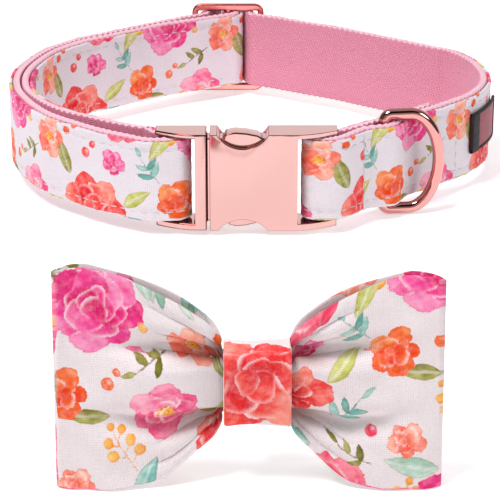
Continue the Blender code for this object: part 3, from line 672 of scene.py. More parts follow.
def printed_cotton(name, ground, shade):
    """Plain-woven cotton that shows the print kept on its mesh."""
    material, tree, shader = new_material(name, Roughness=0.88, Specular_IOR_Level=0.25,
                                          Sheen_Weight=0.10, Sheen_Roughness=0.4)
    cloth = flat_spot(tree)
    kept = add_node(tree, "ShaderNodeAttribute", attribute_name="print").outputs
    shift = remap(tree, noise(tree, cloth, 1400.0, 3.0, "2D"), 0.0, 1.0, -0.06, 0.06)
    edge = calculate(tree, "ADD", kept["Alpha"], shift)
    blot = noise(tree, cloth, 420.0, 4.0, "2D", Roughness=0.62)
    washed = blend(tree, remap(tree, blot, 0.45, 0.80, 0.0, 0.26), kept["Color"], "#FBE4E2")
    pooled = blend(tree, remap(tree, edge, 0.55, 0.66, 0.5, 0.0), washed, "#F2C9C4", "MULTIPLY")
    base = blend(tree, noise(tree, cloth, 45.0, 2.0, "2D"), ground, shade)
    painted = blend(tree, remap(tree, edge, 0.47, 0.56, curve="SMOOTHSTEP"), base, pooled)
    warp, weft = (waves(tree, cloth, direction, THREAD_STEP) for direction in "XY")
    slub = noise(tree, cloth, 1500.0, 3.0, "2D")
    relief = calculate(tree, "ADD", calculate(tree, "MULTIPLY", warp, weft), slub)
    # The weave's hollows are darkened a little as painted shade, and the slub noise makes the tone uneven
    threads = blend(tree, 1.0, painted, remap(tree, relief, 0.3, 1.1, 0.89, 1.0), "MULTIPLY")
    # Painted shade: the bow's deep folds are darkened by an attribute kept on its mesh
    painted_fold_shade = add_node(tree, "ShaderNodeAttribute", attribute_name="painted_fold_shade").outputs["Fac"]
    fold_shaded = blend(tree, painted_fold_shade, threads, "#B79890", "MULTIPLY")
    tree.links.new(fold_shaded, shader.inputs["Base Color"])
    emboss(tree, shader, relief, 0.6, 0.00014)
    return material


cotton = printed_cotton("cotton_poplin_printed", "#EAE2E8", "#E1D8E0")
bow_cotton = printed_cotton("cotton_poplin_bow", "#EDE3E5", "#E4D9DC")
print("cotton material with", len(cotton.node_tree.nodes), "nodes")

# %% [markdown]
# ## Cotton cover of the strap
#
# The cover is a strip of the printed cotton, its raw edges folded under and sewn near both edges. The
# stitches pull it down into a shallow channel and pucker the fold between them. It is one flat grid
# laid along the ribbon path: close rows on the face that shows, few on the back that the webbing
# hides.

# %% Cover
COVER_LOW = STRAP_LIFT + COVER_INSET
COVER_HIGH = STRAP_LIFT + STRAP_WIDTH - COVER_INSET
STITCH_FROM_EDGE = 0.0027
STITCH_PITCH = 0.0034
FINE_STEP = 0.00047
JOINT_SHIFT = 0.0180
SEAM_PLACES = (0.0311, 0.0440, 0.0600)
CHANNEL_DEPTH = 0.00024
CHANNEL_HALF = 0.0006
SEAM_DEPTH = 0.00022
WIDE_WAVE = 0.00009
CLOSE_WAVE = 0.00006
FOLD_PUCKER = 0.00010
EDGE_LIFT = 0.00014
EDGE_LIFT_REACH = 0.004
FACE_ROWS = 50
FACE_FROM = GAP / 2 + 0.7 * COVER_THICK
CORNER_MOST = 0.0005


def band_profile(near, far, low, high, face_rows):
    """Section of a flat band once round, as distance from the path and height, and its flat width."""
    r = min(0.45 * (far - near), CORNER_MOST)
    rows = [(far, z) for z in np.linspace(low + r, high - r, face_rows)]
    rows += [(far - r + r * math.cos(a), high - r + r * math.sin(a)) for a in np.radians((30, 60, 90))]
    rows += [(near + r - r * math.sin(a), high - r + r * math.cos(a)) for a in np.radians((45, 90))]
    rows += [(near, (low + high) / 2)]
    rows += [(near + r - r * math.cos(a), low + r - r * math.sin(a)) for a in np.radians((0, 45))]
    rows += [(far - r + r * math.sin(a), low + r - r * math.cos(a)) for a in np.radians((0, 30, 60))]
    rows = np.array(rows + rows[:1])
    return rows, run_of(rows) + (low + r)


def lay_band(path, profile, widths, extra=None):
    """Places and flat spots of a band on a path; extra moves points outward and up."""
    run = run_of(path)
    off, up = (np.repeat(profile[None, :, k], len(path), axis=0) for k in (0, 1))
    if extra is not None:
        add_off, add_up = extra(run[:, None], profile[None, :, 0], profile[None, :, 1])
        off, up = off + add_off, up + add_up
    plan = path[:, None, :] + right_of(path)[:, None, :] * off[:, :, None]
    return np.concatenate([plan, up[:, :, None]], axis=2), flat_grid(run, widths)


# %% Stitch channels
def cover_pucker(run, off, z):
    """Channel under each stitch row and soft waves of the fold beyond it."""
    face = off > FACE_FROM
    to_low, to_high = z - COVER_LOW, COVER_HIGH - z
    near = np.minimum(to_low, to_high)
    channel = -CHANNEL_DEPTH * np.exp(-((near - STITCH_FROM_EDGE) / CHANNEL_HALF) ** 2)
    pull = 0.5 + 0.5 * np.cos(2 * math.pi * run / STITCH_PITCH)
    along, up = run * 1000, z * 1000
    swell = WIDE_WAVE * ripple(along, up, 9.0, 0.7) + CLOSE_WAVE * ripple(along, up, 4.1, 2.0)
    fold = smooth_step(1 - near / STITCH_FROM_EDGE) * FOLD_PUCKER * (pull - 0.4)
    lift = smooth_step(1 - near / EDGE_LIFT_REACH) * EDGE_LIFT * ripple(along, 0 * z, 7.0, 1.3)
    cross = sum(-SEAM_DEPTH * np.exp(-((run - seam) / CHANNEL_HALF) ** 2) for seam in SEAMS)
    outward = np.where(face, channel * (0.6 + 0.4 * pull) + swell + fold + cross, 0.0)
    return outward, lift * np.sign(to_high - to_low)


def outer_run(x):
    """Distance along the ribbon where its outer layer at the right front reaches x."""
    front = (right_of(path_fine)[:, 1] < -0.3) & (path_fine[:, 1] < 0.06)
    near = front & (np.abs(path_fine[:, 0] - x) < FINE_STEP)
    return float(run_of(path_fine)[near].mean())


# %% Cover on the strap
path_fine = resample(strap_path, FINE_STEP)
SEAMS = [outer_run(x) for x in SEAM_PLACES]
profile, widths = band_profile(GAP / 2, GAP / 2 + COVER_THICK, COVER_LOW, COVER_HIGH, FACE_ROWS)
places, flats = lay_band(path_fine, profile, widths, cover_pucker)
flats[:, :, 0] += np.where(flats[:, :, 0] > SEAMS[0], JOINT_SHIFT, 0.0)
cover = finish_mesh("cover_print", lay_sheet(places, flats, False, True), "collar", "cover", cotton)
print_cloth(cover, (13.0, 8.0), PRINT_SCALE)
print("cover triangles:", 2 * len(cover.data.polygons))

# %% [markdown]
# ## Webbing
#
# The core of the strap is nylon webbing: thick warp cords run along it, bound by weft that shows as a
# fine slanting grain on its face and as knobbly loops along its edges. It is the same kind of band,
# with the loops as small waves on its edges.

# %% Webbing material
GRAIN_STEP = 0.0009
CORD_STEP = 0.0006
GRAIN_SLANT_DEG = 24
WEBBING_TOP_EDGE = STRAP_LIFT + STRAP_WIDTH + WEBBING_THICK / 2


def nylon_webbing(name, colour, deep):
    """Woven nylon with slanting grain, painted shade in its grooves and a painted highlight on its top edge.
    """
    material, tree, shader = new_material(name, Roughness=0.62, Specular_IOR_Level=0.35,
                                          Sheen_Weight=0.25, Sheen_Roughness=0.35)
    cloth = flat_spot(tree)
    slant = add_node(tree, "ShaderNodeMapping", [("Vector", cloth)],
                     Rotation=(0, 0, math.radians(GRAIN_SLANT_DEG))).outputs[0]
    grain = waves(tree, slant, "X", GRAIN_STEP, Distortion=1.5, Detail=2.0)
    weave = calculate(tree, "MULTIPLY", grain, waves(tree, cloth, "Y", CORD_STEP))
    # The weave's grooves take the deeper colour: the weave's pattern, with painted shade in its grooves
    woven = blend(tree, remap(tree, weave, 0.05, 0.7), deep, colour)
    # Painted highlight: the top edge, which faces the lamps, is paler
    height = add_node(tree, "ShaderNodeSeparateXYZ", [(0, cloth)]).outputs["Y"]
    away = calculate(tree, "ABSOLUTE", calculate(tree, "SUBTRACT", height, WEBBING_TOP_EDGE))
    wear_and_highlight = blend(tree, remap(tree, away, 0.0009, 0.0016, 0.75, 0.0), woven, "#FBD3DF")
    tree.links.new(wear_and_highlight, shader.inputs["Base Color"])
    fibre = noise(tree, cloth, 1100.0, 3.0, "2D")
    emboss(tree, shader, calculate(tree, "MULTIPLY_ADD", fibre, 0.5, weave), 0.7, 0.00025)
    return material


webbing_nylon = nylon_webbing("nylon_webbing_woven", "#E9A4BA", "#D98AA3")

# %% Webbing
EDGE_LOOP_PITCH = 0.0021
EDGE_LOOP_REACH = 0.0016
EDGE_LOOP_OUT = 0.00024
EDGE_LOOP_UP = 0.00030
WEB_STEP = 0.0005
WEB_FACE_ROWS = 8


def webbing_edges(run, off, z):
    """Weft loops that swell and pinch both edges."""
    low, high = z - STRAP_LIFT, STRAP_LIFT + STRAP_WIDTH - z
    edge = smooth_step(1 - np.minimum(low, high) / EDGE_LOOP_REACH)
    middle = -GAP / 2 - WEBBING_THICK / 2
    loop = np.cos(2 * math.pi * run / EDGE_LOOP_PITCH + math.pi * (off > middle))
    loop = edge * loop * (0.8 + 0.2 * ripple(run * 1000, 0 * z, 11.0, 0.4))
    return EDGE_LOOP_OUT * loop * np.sign(off - middle), EDGE_LOOP_UP * loop * np.sign(high - low)


strap_high = STRAP_LIFT + STRAP_WIDTH
profile, widths = band_profile(-GAP / 2 - WEBBING_THICK, -GAP / 2, STRAP_LIFT, strap_high, WEB_FACE_ROWS)
profile = profile * (-1, 1) + (-GAP - WEBBING_THICK, 0)
places, flats = lay_band(resample(strap_path, WEB_STEP), profile, widths, webbing_edges)
sheet = lay_sheet(places, flats, False, True)
webbing = finish_mesh("webbing_band", sheet, "collar", "webbing", webbing_nylon)
print("webbing triangles:", 2 * len(webbing.data.polygons))

# %% [markdown]
# ## Frayed end
#
# Where the webbing was cut, a few fibres have sprung out of its end, behind the right front. Each is a
# sphere of a few faces drawn out along a short bent line. A seeded draw scatters them the same way
# each time.

# %% Frayed end
FIBRE_COUNT = 46
FIBRE_RADIUS = 0.00014
FIBRE_LENGTHS = (0.0016, 0.0050)
FIBRES_DRAWN_BACK = 20
FIBRES_RISING = 24
DRAWN_BACK_MOST = 0.004
BELOW_TOP = 0.0004


def draw_fibre(bm, root, way, bend, length):
    """One fibre from its root, first along way and then towards bend."""
    ball = bmesh.ops.create_uvsphere(bm, u_segments=5, v_segments=7, radius=1.0)["verts"]
    for vert in ball:
        share = (vert.co.z + 1) / 2
        line = root + way * (length * share) + bend * (length * share ** 2)
        vert.co = line + Vector((vert.co.x, vert.co.y, 0)) * FIBRE_RADIUS * (1.2 - share)


draw = np.random.default_rng(11)
end_way = Vector((*(strap_path[0] - strap_path[3]), 0)).normalized()
end_side = Vector((*right_of(strap_path)[0], 0))
bm = bmesh.new()
for number in range(FIBRE_COUNT):
    height = strap_high - BELOW_TOP - STRAP_WIDTH * 0.9 * (number / FIBRE_COUNT) ** 2
    inward = GAP / 2 + WEBBING_THICK * draw.uniform(0.1, 0.9)
    drawn_back = draw.uniform(0.0, DRAWN_BACK_MOST) * (number < FIBRES_DRAWN_BACK)
    root = Vector((*strap_path[0], height)) - end_side * inward - end_way * drawn_back
    rise = draw.uniform(0.1, 0.9) if number < FIBRES_RISING else draw.uniform(-0.4, 0.4)
    way = (end_way + end_side * draw.uniform(-0.5, 0.3) + Vector((0, 0, rise))).normalized()
    bend = Vector((draw.uniform(-0.5, 0.5), draw.uniform(-0.5, 0.5), draw.uniform(-0.5, 0.4)))
    draw_fibre(bm, root, way, bend, draw.uniform(*FIBRE_LENGTHS))
fibre, _, _ = mottled("nylon_fibre", "#F7AFC4", "#E8809E", 600.0, Roughness=0.5)
finish_mesh("webbing_frayed_end", bm, "collar", "webbing", fibre, stands_in=False)
print("fibres:", FIBRE_COUNT)

# %% [markdown]
# ## Running stitches
#
# Each stitch is a short length of thread that dips into the cloth at both ends. One capsule of a few
# faces is made and placed several hundred times, along both edges of the cover and across its seams.

# %% Stitches
STITCH_LENGTH = 0.0025
THREAD_RADIUS = 0.00019
STITCH_SINK = 0.00012
THREAD_SUNK = 0.00016
THREAD_OFF = GAP / 2 + COVER_THICK - THREAD_SUNK
ROWS_START = 0.004
ROWS_END = 0.016


def sew(bm, at, z, upright=False):
    """One stitch at a distance along the ribbon and a height, lying along it or upright."""
    run, side = run_of(path_fine), right_of(path_fine)
    point = [np.interp(at, run, path_fine[:, axis]) for axis in (0, 1)]
    out = Vector([np.interp(at, run, side[:, axis]) for axis in (0, 1)] + [0]).normalized()
    middle = Vector((*point, z)) + out * THREAD_OFF
    along = Vector((0, 0, 1)) if upright else Vector((-out.y, out.x, 0))
    across = out.cross(along)
    for vert in bmesh.ops.create_uvsphere(bm, u_segments=8, v_segments=4, radius=1.0)["verts"]:
        sink = vert.co.z ** 2 * STITCH_SINK
        vert.co = (middle + along * (vert.co.z * STITCH_LENGTH / 2) + across * (vert.co.x * THREAD_RADIUS)
                   + out * (vert.co.y * THREAD_RADIUS - sink))


bm = bmesh.new()
row_low, row_high = COVER_LOW + STITCH_FROM_EDGE, COVER_HIGH - STITCH_FROM_EDGE
for at in np.arange(ROWS_START, strap_length - ROWS_END, STITCH_PITCH):
    for z in (row_low, row_high):
        sew(bm, at, z)
for at in SEAMS:
    for z in np.arange(row_low, row_high, STITCH_PITCH):
        sew(bm, at, z + STITCH_PITCH / 2, upright=True)
thread, _, _ = mottled("polyester_thread", "#DDD4D8", "#CBC1C6", 900.0, Roughness=0.6)
stitches = finish_mesh("cover_stitches", bm, "collar", "cover", thread, stands_in=False)
print("stitch triangles:", sum(len(face.vertices) - 2 for face in stitches.data.polygons))

# %% [markdown]
# ## Plated metal
#
# Buckle, slider and D-ring are cast zinc alloy with a polished rose-gold plate. Polished metal has
# almost no colour of its own light: it mirrors the room, tinted by the plate. What makes it read as
# metal is its rounded edges, which gather the bright and dark parts of the room into thin lines.
# An attribute marks those edges, and a painted dark reflection is laid along them: the plate is darker there.

# %% Metal materials
def plated_metal(name, colour, edge, roughness):
    """Polished plate with a faint haze, and a painted dark reflection along its edges."""
    material, tree, shader = new_material(name, Base_Color=linear(colour), Metallic=1.0, Roughness=roughness)
    haze = noise(tree, object_spot(tree), 160.0, 3.0)
    hazy = remap(tree, haze, 0.0, 1.0, roughness * 0.7, roughness * 1.5)
    tree.links.new(hazy, shader.inputs["Roughness"])
    emboss(tree, shader, haze, 0.05, 0.0004)
    # Painted dark reflection: a darker plate colour on the faces that the attribute marks
    line = add_node(tree, "ShaderNodeAttribute", attribute_name="painted_reflection_line").outputs["Fac"]
    tree.links.new(blend(tree, line, colour, edge), shader.inputs["Base Color"])
    return material


# The second colour of each is the painted dark reflection along its edges
rose_gold = plated_metal("zinc_plated_rose_gold", "#D6ACA8", "#7C443D", 0.09)
rose_wire = plated_metal("steel_wire_rose_gold", "#DB9F9B", "#7E3F39", 0.07)
coral_gold = plated_metal("zinc_plated_coral", "#FFACA6", "#B5605A", 0.25)


# %% Metal pieces from their solids
COPLANAR = math.radians(1.5)
SHARP = math.radians(28)
REFLECTION_LINE_TILT = math.radians(24)
BUCKLE_ROUND = 0.0005
SLIDER_ROUND = 0.0007


def is_planar(face):
    """True for a face that isn't one facet of a curve."""
    angles = [edge.calc_face_angle(0.0) for edge in face.edges]
    return not any(math.radians(1) < angle < SHARP for angle in angles)


def rounded_copy(node, width, material):
    """Copy a solid, merge its loose triangles, round its sharp edges, and let it stand for the node."""
    bm = bmesh.new()
    bm.from_mesh(frame["nodes"][node].data)
    bmesh.ops.remove_doubles(bm, verts=bm.verts, dist=MERGE_DISTANCE)
    bmesh.ops.dissolve_limit(bm, angle_limit=COPLANAR, verts=bm.verts, edges=bm.edges)
    bmesh.ops.recalc_face_normals(bm, faces=bm.faces)
    planar = bm.faces.layers.int.new("planar")
    line = bm.faces.layers.float.new("painted_reflection_line")
    for face in bm.faces:
        face[planar] = is_planar(face)
    sharp = [e for e in bm.edges if len(e.link_faces) == 2 and e.calc_face_angle() > SHARP]
    rounded = set(bmesh.ops.bevel(bm, geom=sharp, offset=width, offset_type="OFFSET", segments=4,
                                  profile=0.5, affect="EDGES", clamp_overlap=True, material=-1)["faces"])
    flat_faces = [face not in rounded and bool(face[planar]) for face in bm.faces]
    # Painted dark reflection lines: the rounded faces are marked, fully where they tilt away from the axes
    for face in rounded:
        tilted = max(abs(c) for c in face.normal) < math.cos(REFLECTION_LINE_TILT)
        face[line] = 1.0 if tilted else 0.5
    obj = finish_mesh(node + "_metal", bm, "collar", node, material)
    for face, flat in zip(obj.data.polygons, flat_faces):
        face.use_smooth = not flat
    print(obj.name, "faces:", len(obj.data.polygons), "of them flat:", sum(flat_faces))


rounded_copy("buckle_tongue", BUCKLE_ROUND, rose_gold)
rounded_copy("buckle_housing", BUCKLE_ROUND, rose_gold)
rounded_copy("slider", SLIDER_ROUND, coral_gold)

# %% [markdown]
# ## D-ring
#
# The D-ring is bent from round wire and brazed. It is a circle carried round the D: up the straight
# bar, round two tight corners and along the wide bow. Its bar is the hinge, where the joint says.

# %% D-ring
RING_REACH = 0.0162
RING_STRAIGHT = 0.0075
RING_CORNER = 0.0020
RING_TURN_OUT = 34.0
RING_HALF = STRAP_WIDTH / 2 + GAP + RING_WIRE / 2
WIRE_SIDES = 24
WIRE_REFLECTION = 0.75
WIRE_REFLECTION_HALF = 0.42
WIRE_REFLECTION_SOFT = 0.30
RING_STEP = 0.0004

corner = turn_about((RING_CORNER, RING_HALF - RING_CORNER), RING_CORNER, 180, 90)
arc = np.radians(np.linspace(0, 90, 40))
reach = RING_STRAIGHT + (RING_REACH - RING_STRAIGHT) * np.sin(arc)
sweep = np.stack([reach, RING_HALF * np.cos(arc)], axis=1)
upper = np.vstack([[(0, 0)], corner, sweep])
ring_line = resample(np.vstack([upper, upper[-2::-1] * (1, -1)]), RING_STEP)
wire_side = right_of(ring_line)
wire_side[0] = wire_side[-1] = (1, 0)
turns = np.linspace(0, 2 * math.pi, WIRE_SIDES + 1)
wire = ring_line[:, None, :] + wire_side[:, None, :] * (RING_WIRE / 2 * np.cos(turns))[None, :, None]
proud = RING_WIRE / 2 * np.sin(turns)

# %% D-ring in its place
bar = Vector(frame["joints"][0]["pos_m"])
plan_right = plan_middle(RIGHT_PLAN, 1)
ring_out = right_of(plan_right)[np.argmin(np.abs(run_of(plan_right) - RING_ALONG))]
ring_turn = math.atan2(ring_out[0], -ring_out[1]) - math.radians(RING_TURN_OUT)
c, s = math.cos(ring_turn), math.sin(ring_turn)
places = np.stack([bar.x + wire[:, :, 0] * c - proud * s, bar.y + wire[:, :, 0] * s + proud * c,
                   bar.z + wire[:, :, 1]], axis=2)
places[-1] = places[0]
sheet = lay_sheet(places, flat_grid(run_of(ring_line), turns * RING_WIRE / 2), True, True)
ring = finish_mesh("d_ring_wire", sheet, "d_ring", "d_ring", rose_wire)
# Painted dark reflection lines along both sides of the wire, in the plane of the ring
line = ring.data.attributes.new("painted_reflection_line", "FLOAT", "POINT")
for vert in ring.data.vertices:
    aside = abs((vert.co.y - bar.y) * c - (vert.co.x - bar.x) * s) / (RING_WIRE / 2)
    line.data[vert.index].value = WIRE_REFLECTION * float(smooth_step((WIRE_REFLECTION_HALF - aside) / WIRE_REFLECTION_SOFT))
print("ring turned by", round(math.degrees(ring_turn), 1), "degrees")

# %% [markdown]
# ## Label
#
# A small plain patch is wrapped round the right end of the strap: a flexible plate with a raised dark
# rim, thicker at the end nearest to the D-ring. It bends with the strap, so it is laid on the same path.

# %% Label
LABEL_ALONG = 0.0590
LABEL_LENGTH = 0.0200
LABEL_HEIGHT = 0.0125
LABEL_THICK = 0.0010
LABEL_RAISE = 0.0010
RIM = 0.0011
RIM_END = 0.0040
PLATE_THICK = 0.0007
PLATE_INSET = 0.0003
RIM_NEAR_THICK = 1.3 * LABEL_THICK
LABEL_ROWS = 6

label_low = STRAP_LIFT + STRAP_WIDTH / 2 + LABEL_RAISE - LABEL_HEIGHT / 2
label_near = GAP / 2 + COVER_THICK + GAP
label_line = resample(plan_right + right_of(plan_right) * HALF_LAYER + BUCKLE_MIDDLE, PATH_STEP / 2)


def label_piece(name, start, end, low, high, thick, material):
    """A bar or plate of the label between two distances along the strap and two heights."""
    run = run_of(label_line)
    part = label_line[(run >= LABEL_ALONG + start) & (run <= LABEL_ALONG + end)]
    far = label_near + thick
    profile, widths = band_profile(label_near, far, label_low + low, label_low + high, LABEL_ROWS)
    sheet = lay_sheet(*lay_band(part, profile, widths), False, True)
    finish_mesh(name, sheet, "collar", "label", material)


def dyed_leather(name, colour, wear_and_highlight, grain):
    """Smooth dyed leather with fine pores; grain is their count in a metre."""
    material, tree, shader = mottled(name, colour, wear_and_highlight, 500.0, Roughness=0.5, Specular_IOR_Level=0.3)
    pores = add_node(tree, "ShaderNodeTexVoronoi", [("Vector", flat_spot(tree))], Scale=grain)
    emboss(tree, shader, pores.outputs["Distance"], 0.4, 0.0002)
    return material


label_brown = dyed_leather("leather_dyed_rose_brown", "#9E4E5B", "#8A4652", 1500.0)
label_dark = dyed_leather("leather_painted_edge", "#211719", "#2E2326", 900.0)
label_piece("label_plate", 0, LABEL_LENGTH, PLATE_INSET, LABEL_HEIGHT - PLATE_INSET, PLATE_THICK, label_brown)
for name, start, end, low, high, thick in (
        ("low", 0, LABEL_LENGTH, 0, RIM, LABEL_THICK),
        ("top", 0, LABEL_LENGTH, LABEL_HEIGHT - RIM, LABEL_HEIGHT, LABEL_THICK),
        ("near", 0, RIM_END, 0, LABEL_HEIGHT, RIM_NEAR_THICK),
        ("far", LABEL_LENGTH - RIM, LABEL_LENGTH, 0, LABEL_HEIGHT, LABEL_THICK)):
    label_piece("label_rim_" + name, start, end, low, high, thick, label_dark)
print("label length in mm:", LABEL_LENGTH * 1000)

# %% [markdown]
# ## Bow
#
# The bow is one band of the printed cotton, closed by its folds at both ends and pinched in the
# middle. Its rows come from a short table: how far out, how deep, how high and how strongly pleated
# the wing is there. Pleats start at the knot and run out into the wings, whose ends are folds pressed
# flat. The surface is worked out once for its middle, and the cloth's two faces lie on either side.

# %% Bow sizes
knot_low, knot_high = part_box("bow_knot")
BOW_PLACE = np.array(((knot_low[0] + knot_high[0]) / 2, (knot_low[1] + knot_high[1]) / 2, 0.0))
BOW_LEFT = 0.0442
BOW_RIGHT = 0.0404
BOW_HEIGHT = 0.0503
BOW_RIGHT_LOWER = 0.04
WAIST_DROP = 0.0019
BOW_DEPTH = 0.0105
BOW_WALL = 0.0016
BOW_CLOSE = 0.25
BOW_SPREAD = 0.53
BOW_LEAN = 0.05
PLEAT_DEPTH = 0.0024
PLEAT_HALF = 0.0062
CLOTH_THICK = 0.0006
FOLD_FORWARD = 0.75
SPREAD_UP = 0.13
CLOSE_TOP = 0.90
FAN_DEPTH = 0.0013
FLUTTER = 0.00040
LAYERS_LEAST = -0.00012
RIM_CLEAR = 0.0006
LOWER_SLIM = 0.10
BOW_STEP = 0.00034
BOW_LEVELS = 134
BACK_EVERY = 10
RIM_PROUD = 0.0002
# Reach, half gap, half height and pleat, each as a share of its size
BOW_WING = np.array([
    (0.000, 0.26, 0.265, 0.20), (0.090, 0.26, 0.265, 0.24), (0.160, 0.28, 0.280, 0.50),
    (0.186, 0.30, 0.375, 0.75), (0.212, 0.33, 0.480, 0.90), (0.255, 0.39, 0.570, 1.00),
    (0.320, 0.49, 0.660, 1.12), (0.400, 0.64, 0.755, 1.35), (0.500, 0.80, 0.850, 1.25),
    (0.620, 0.92, 0.925, 0.85), (0.740, 1.00, 0.970, 0.40), (0.860, 0.92, 0.995, 0.10),
    (0.930, 0.68, 1.000, 0.00), (0.975, 0.34, 1.000, 0.00), (1.000, 0.00, 1.000, 0.00),
])


# %% Bow rows
def bow_rows(step):
    """Smooth rows of the table, once round the bow, with the side and layer of each."""
    weights = (1, 0.12, 0.25, 0.2)
    fine = smooth_chain(BOW_WING * weights, step / BOW_LEFT) / weights
    quarters = ((fine[::-1], -1, -1), (fine[1:], 1, -1), (fine[-2::-1], 1, 1), (fine[1:], -1, 1))
    return np.vstack([np.column_stack([rows, np.full(len(rows), side), np.full(len(rows), layer)])
                      for rows, side, layer in quarters])


# %% Bow folds
def bow_middle(rows, levels):
    """Middle of the cloth at each station and level."""
    reach, gap, height, pleat, side, layer = (rows[:, k][:, None] for k in range(6))
    level = levels[None, :]
    z = level * (BOW_HEIGHT / 2) * height
    # One ridge along the middle with a valley on either side, deepest at the knot
    share = np.abs(z) / PLEAT_HALF
    near = 1 - smooth_step((reach - 0.20) / 0.30)
    ridge = 1 - smooth_step((share - 0.55 - 0.12 * near) / (0.75 - 0.40 * near))
    crest = 1.6 * ridge + 0.9 * smooth_step((share - 1.35) / 0.9) - 0.9
    # The two layers lie closer together towards the upper edge
    closing = np.maximum(gap ** 2, CLOSE_TOP * smooth_step((reach - 0.50) / 0.25))
    spread = BOW_SPREAD + SPREAD_UP * np.maximum(level, 0)
    room = BOW_DEPTH / 2 * (1 - closing * (BOW_CLOSE + spread * level))
    depth = gap * room + PLEAT_DEPTH * pleat * (crest + 1.2 * np.minimum(crest, 0)) * 0.5
    # Small folds fan out above and below the valleys
    fan = smooth_step((0.66 - reach) / 0.35) * smooth_step((reach - 0.17) / 0.05)
    folds = np.abs(np.sin(math.pi * (np.abs(level) - 0.40) / 0.21)) - 0.6
    depth = depth + FAN_DEPTH * fan * folds * smooth_step((np.abs(level) - 0.52) / 0.10)
    soft = smooth_step((reach - 0.3) / 0.2) * smooth_step((0.98 - reach) / 0.12)
    depth = depth + FLUTTER * soft * ripple(side * reach * 44, level * 20 + 9 * layer, 15.0, 1.0)
    depth = np.maximum(depth, np.where(gap > 0.2, LAYERS_LEAST, 0.0))
    press = (1 - gap) * room * smooth_step((reach - 0.6) / 0.2)
    y = layer * depth - FOLD_FORWARD * press + BOW_LEAN * (z + BOW_HEIGHT / 2) * gap
    x = side * reach * np.where(side < 0, BOW_LEFT, BOW_RIGHT)
    z = np.where((side > 0) & (z > 0), z * (1 - 2 * BOW_RIGHT_LOWER * reach), z)
    z = np.where(z < 0, z * (1 - LOWER_SLIM * smooth_step((0.5 - reach) / 0.25)), z)
    z = z - WAIST_DROP * (1 - smooth_step((reach - 0.45) / 0.45))
    return np.stack(np.broadcast_arrays(x, y, z + BOW_HEIGHT / 2), axis=2)


# %% Bow cloth
bow_station = bow_rows(BOW_STEP)
middle = bow_middle(bow_station, np.linspace(-1, 1, BOW_LEVELS))
along_way = np.roll(middle, -1, axis=0) - np.roll(middle, 1, axis=0)
along_way[0] = along_way[-1] = middle[1] - middle[-2]
out = np.cross(along_way, np.gradient(middle, axis=1))
out /= np.maximum(np.linalg.norm(out, axis=2)[:, :, None], 1e-12)
outer = middle + out * BOW_WALL / 2
inner = outer - out * CLOTH_THICK
rim_top = (outer[:, -1:] + inner[:, -1:]) / 2 + (0, 0, RIM_PROUD)
rim_low = (outer[:, :1] + inner[:, :1]) / 2 - (0, 0, RIM_PROUD) * (outer[:, :1, 2:] > RIM_CLEAR)
back = inner[:, ::-BACK_EVERY]
places = np.concatenate([outer, rim_top, back, rim_low, outer[:, :1]], axis=1) + BOW_PLACE
places[-1] = places[0]
run = run_of(bow_station[:, [0]] * np.where(bow_station[:, [4]] < 0, BOW_LEFT, BOW_RIGHT))
# Flat spots of the rims and of the hidden inner face only have to lie beyond those of the outer face
widths = np.concatenate([np.linspace(0, BOW_HEIGHT, BOW_LEVELS), [BOW_HEIGHT + 0.001],
                         BOW_HEIGHT + 0.002 + np.linspace(0, BOW_HEIGHT, back.shape[1]),
                         [2 * BOW_HEIGHT + 0.003, 2 * BOW_HEIGHT + 0.004]])
sheet = lay_sheet(places, flat_grid(run, widths), True, True)
bow = finish_mesh("bow_loop_print", sheet, "collar", "bow_loop", bow_cotton)
print_cloth(bow, (30.0, -2.0), PRINT_SCALE, turn_deg=8)
print("bow triangles:", 2 * len(bow.data.polygons), "flat length in mm:", round(float(run[-1]) * 1000, 1))

# %% Bow fold shade, painted
spots = flat_spots(bow.data)
reach_at = np.interp(spots[:, 0], run, bow_station[:, 0])
share_at = np.abs(2 * spots[:, 1] / BOW_HEIGHT - 1) * np.interp(spots[:, 0], run, bow_station[:, 2])
share_at = share_at * BOW_HEIGHT / 2 / PLEAT_HALF
# Painted shade in the deep valleys beside the middle ridge, strongest near the knot
deep = smooth_step((share_at - 0.65) / 0.30) * (1 - smooth_step((share_at - 1.25) / 0.75))
deep = deep * (1 - smooth_step((reach_at - 0.20) / 0.28)) * (spots[:, 1] <= BOW_HEIGHT)
bow.data.attributes.new("painted_fold_shade", "FLOAT", "POINT").data.foreach_set("value", deep)
print("share of creased points:", round(float((deep > 0.5).mean()), 3))

# %% [markdown]
# ## Knot
#
# A short strip of the same cotton is wrapped round the pinch and sewn behind it. Its long edges are
# folded under, so they are thick and round, and it is a little slimmer between them.

# %% Knot
KNOT_WIDTH = 0.0151
KNOT_HEIGHT = 0.0190
KNOT_DEPTH = 0.0112
KNOT_WALL = 0.0015
KNOT_WAIST = 0.0008
KNOT_CORNER = 0.0028
KNOT_STEP = 0.00035
KNOT_COLUMNS = 52
ROUND_FROM = 0.93
EDGE_TUCK = 0.0009
KNOT_FOLD = 0.00030
LINING_ROWS = 6
LINING_REACH = 0.96


def knot_section():
    """Rounded rectangle once round, starting behind."""
    deep, high = KNOT_DEPTH / 2, KNOT_HEIGHT / 2
    points = [[(deep, 0)]]
    for side, level, start in ((1, 1, 0), (-1, 1, 90), (-1, -1, 180), (1, -1, 270)):
        centre = (side * (deep - KNOT_CORNER), level * (high - KNOT_CORNER))
        points.append(turn_about(centre, KNOT_CORNER, start, start + 90))
    return resample(np.vstack(points + points[:1]), KNOT_STEP)


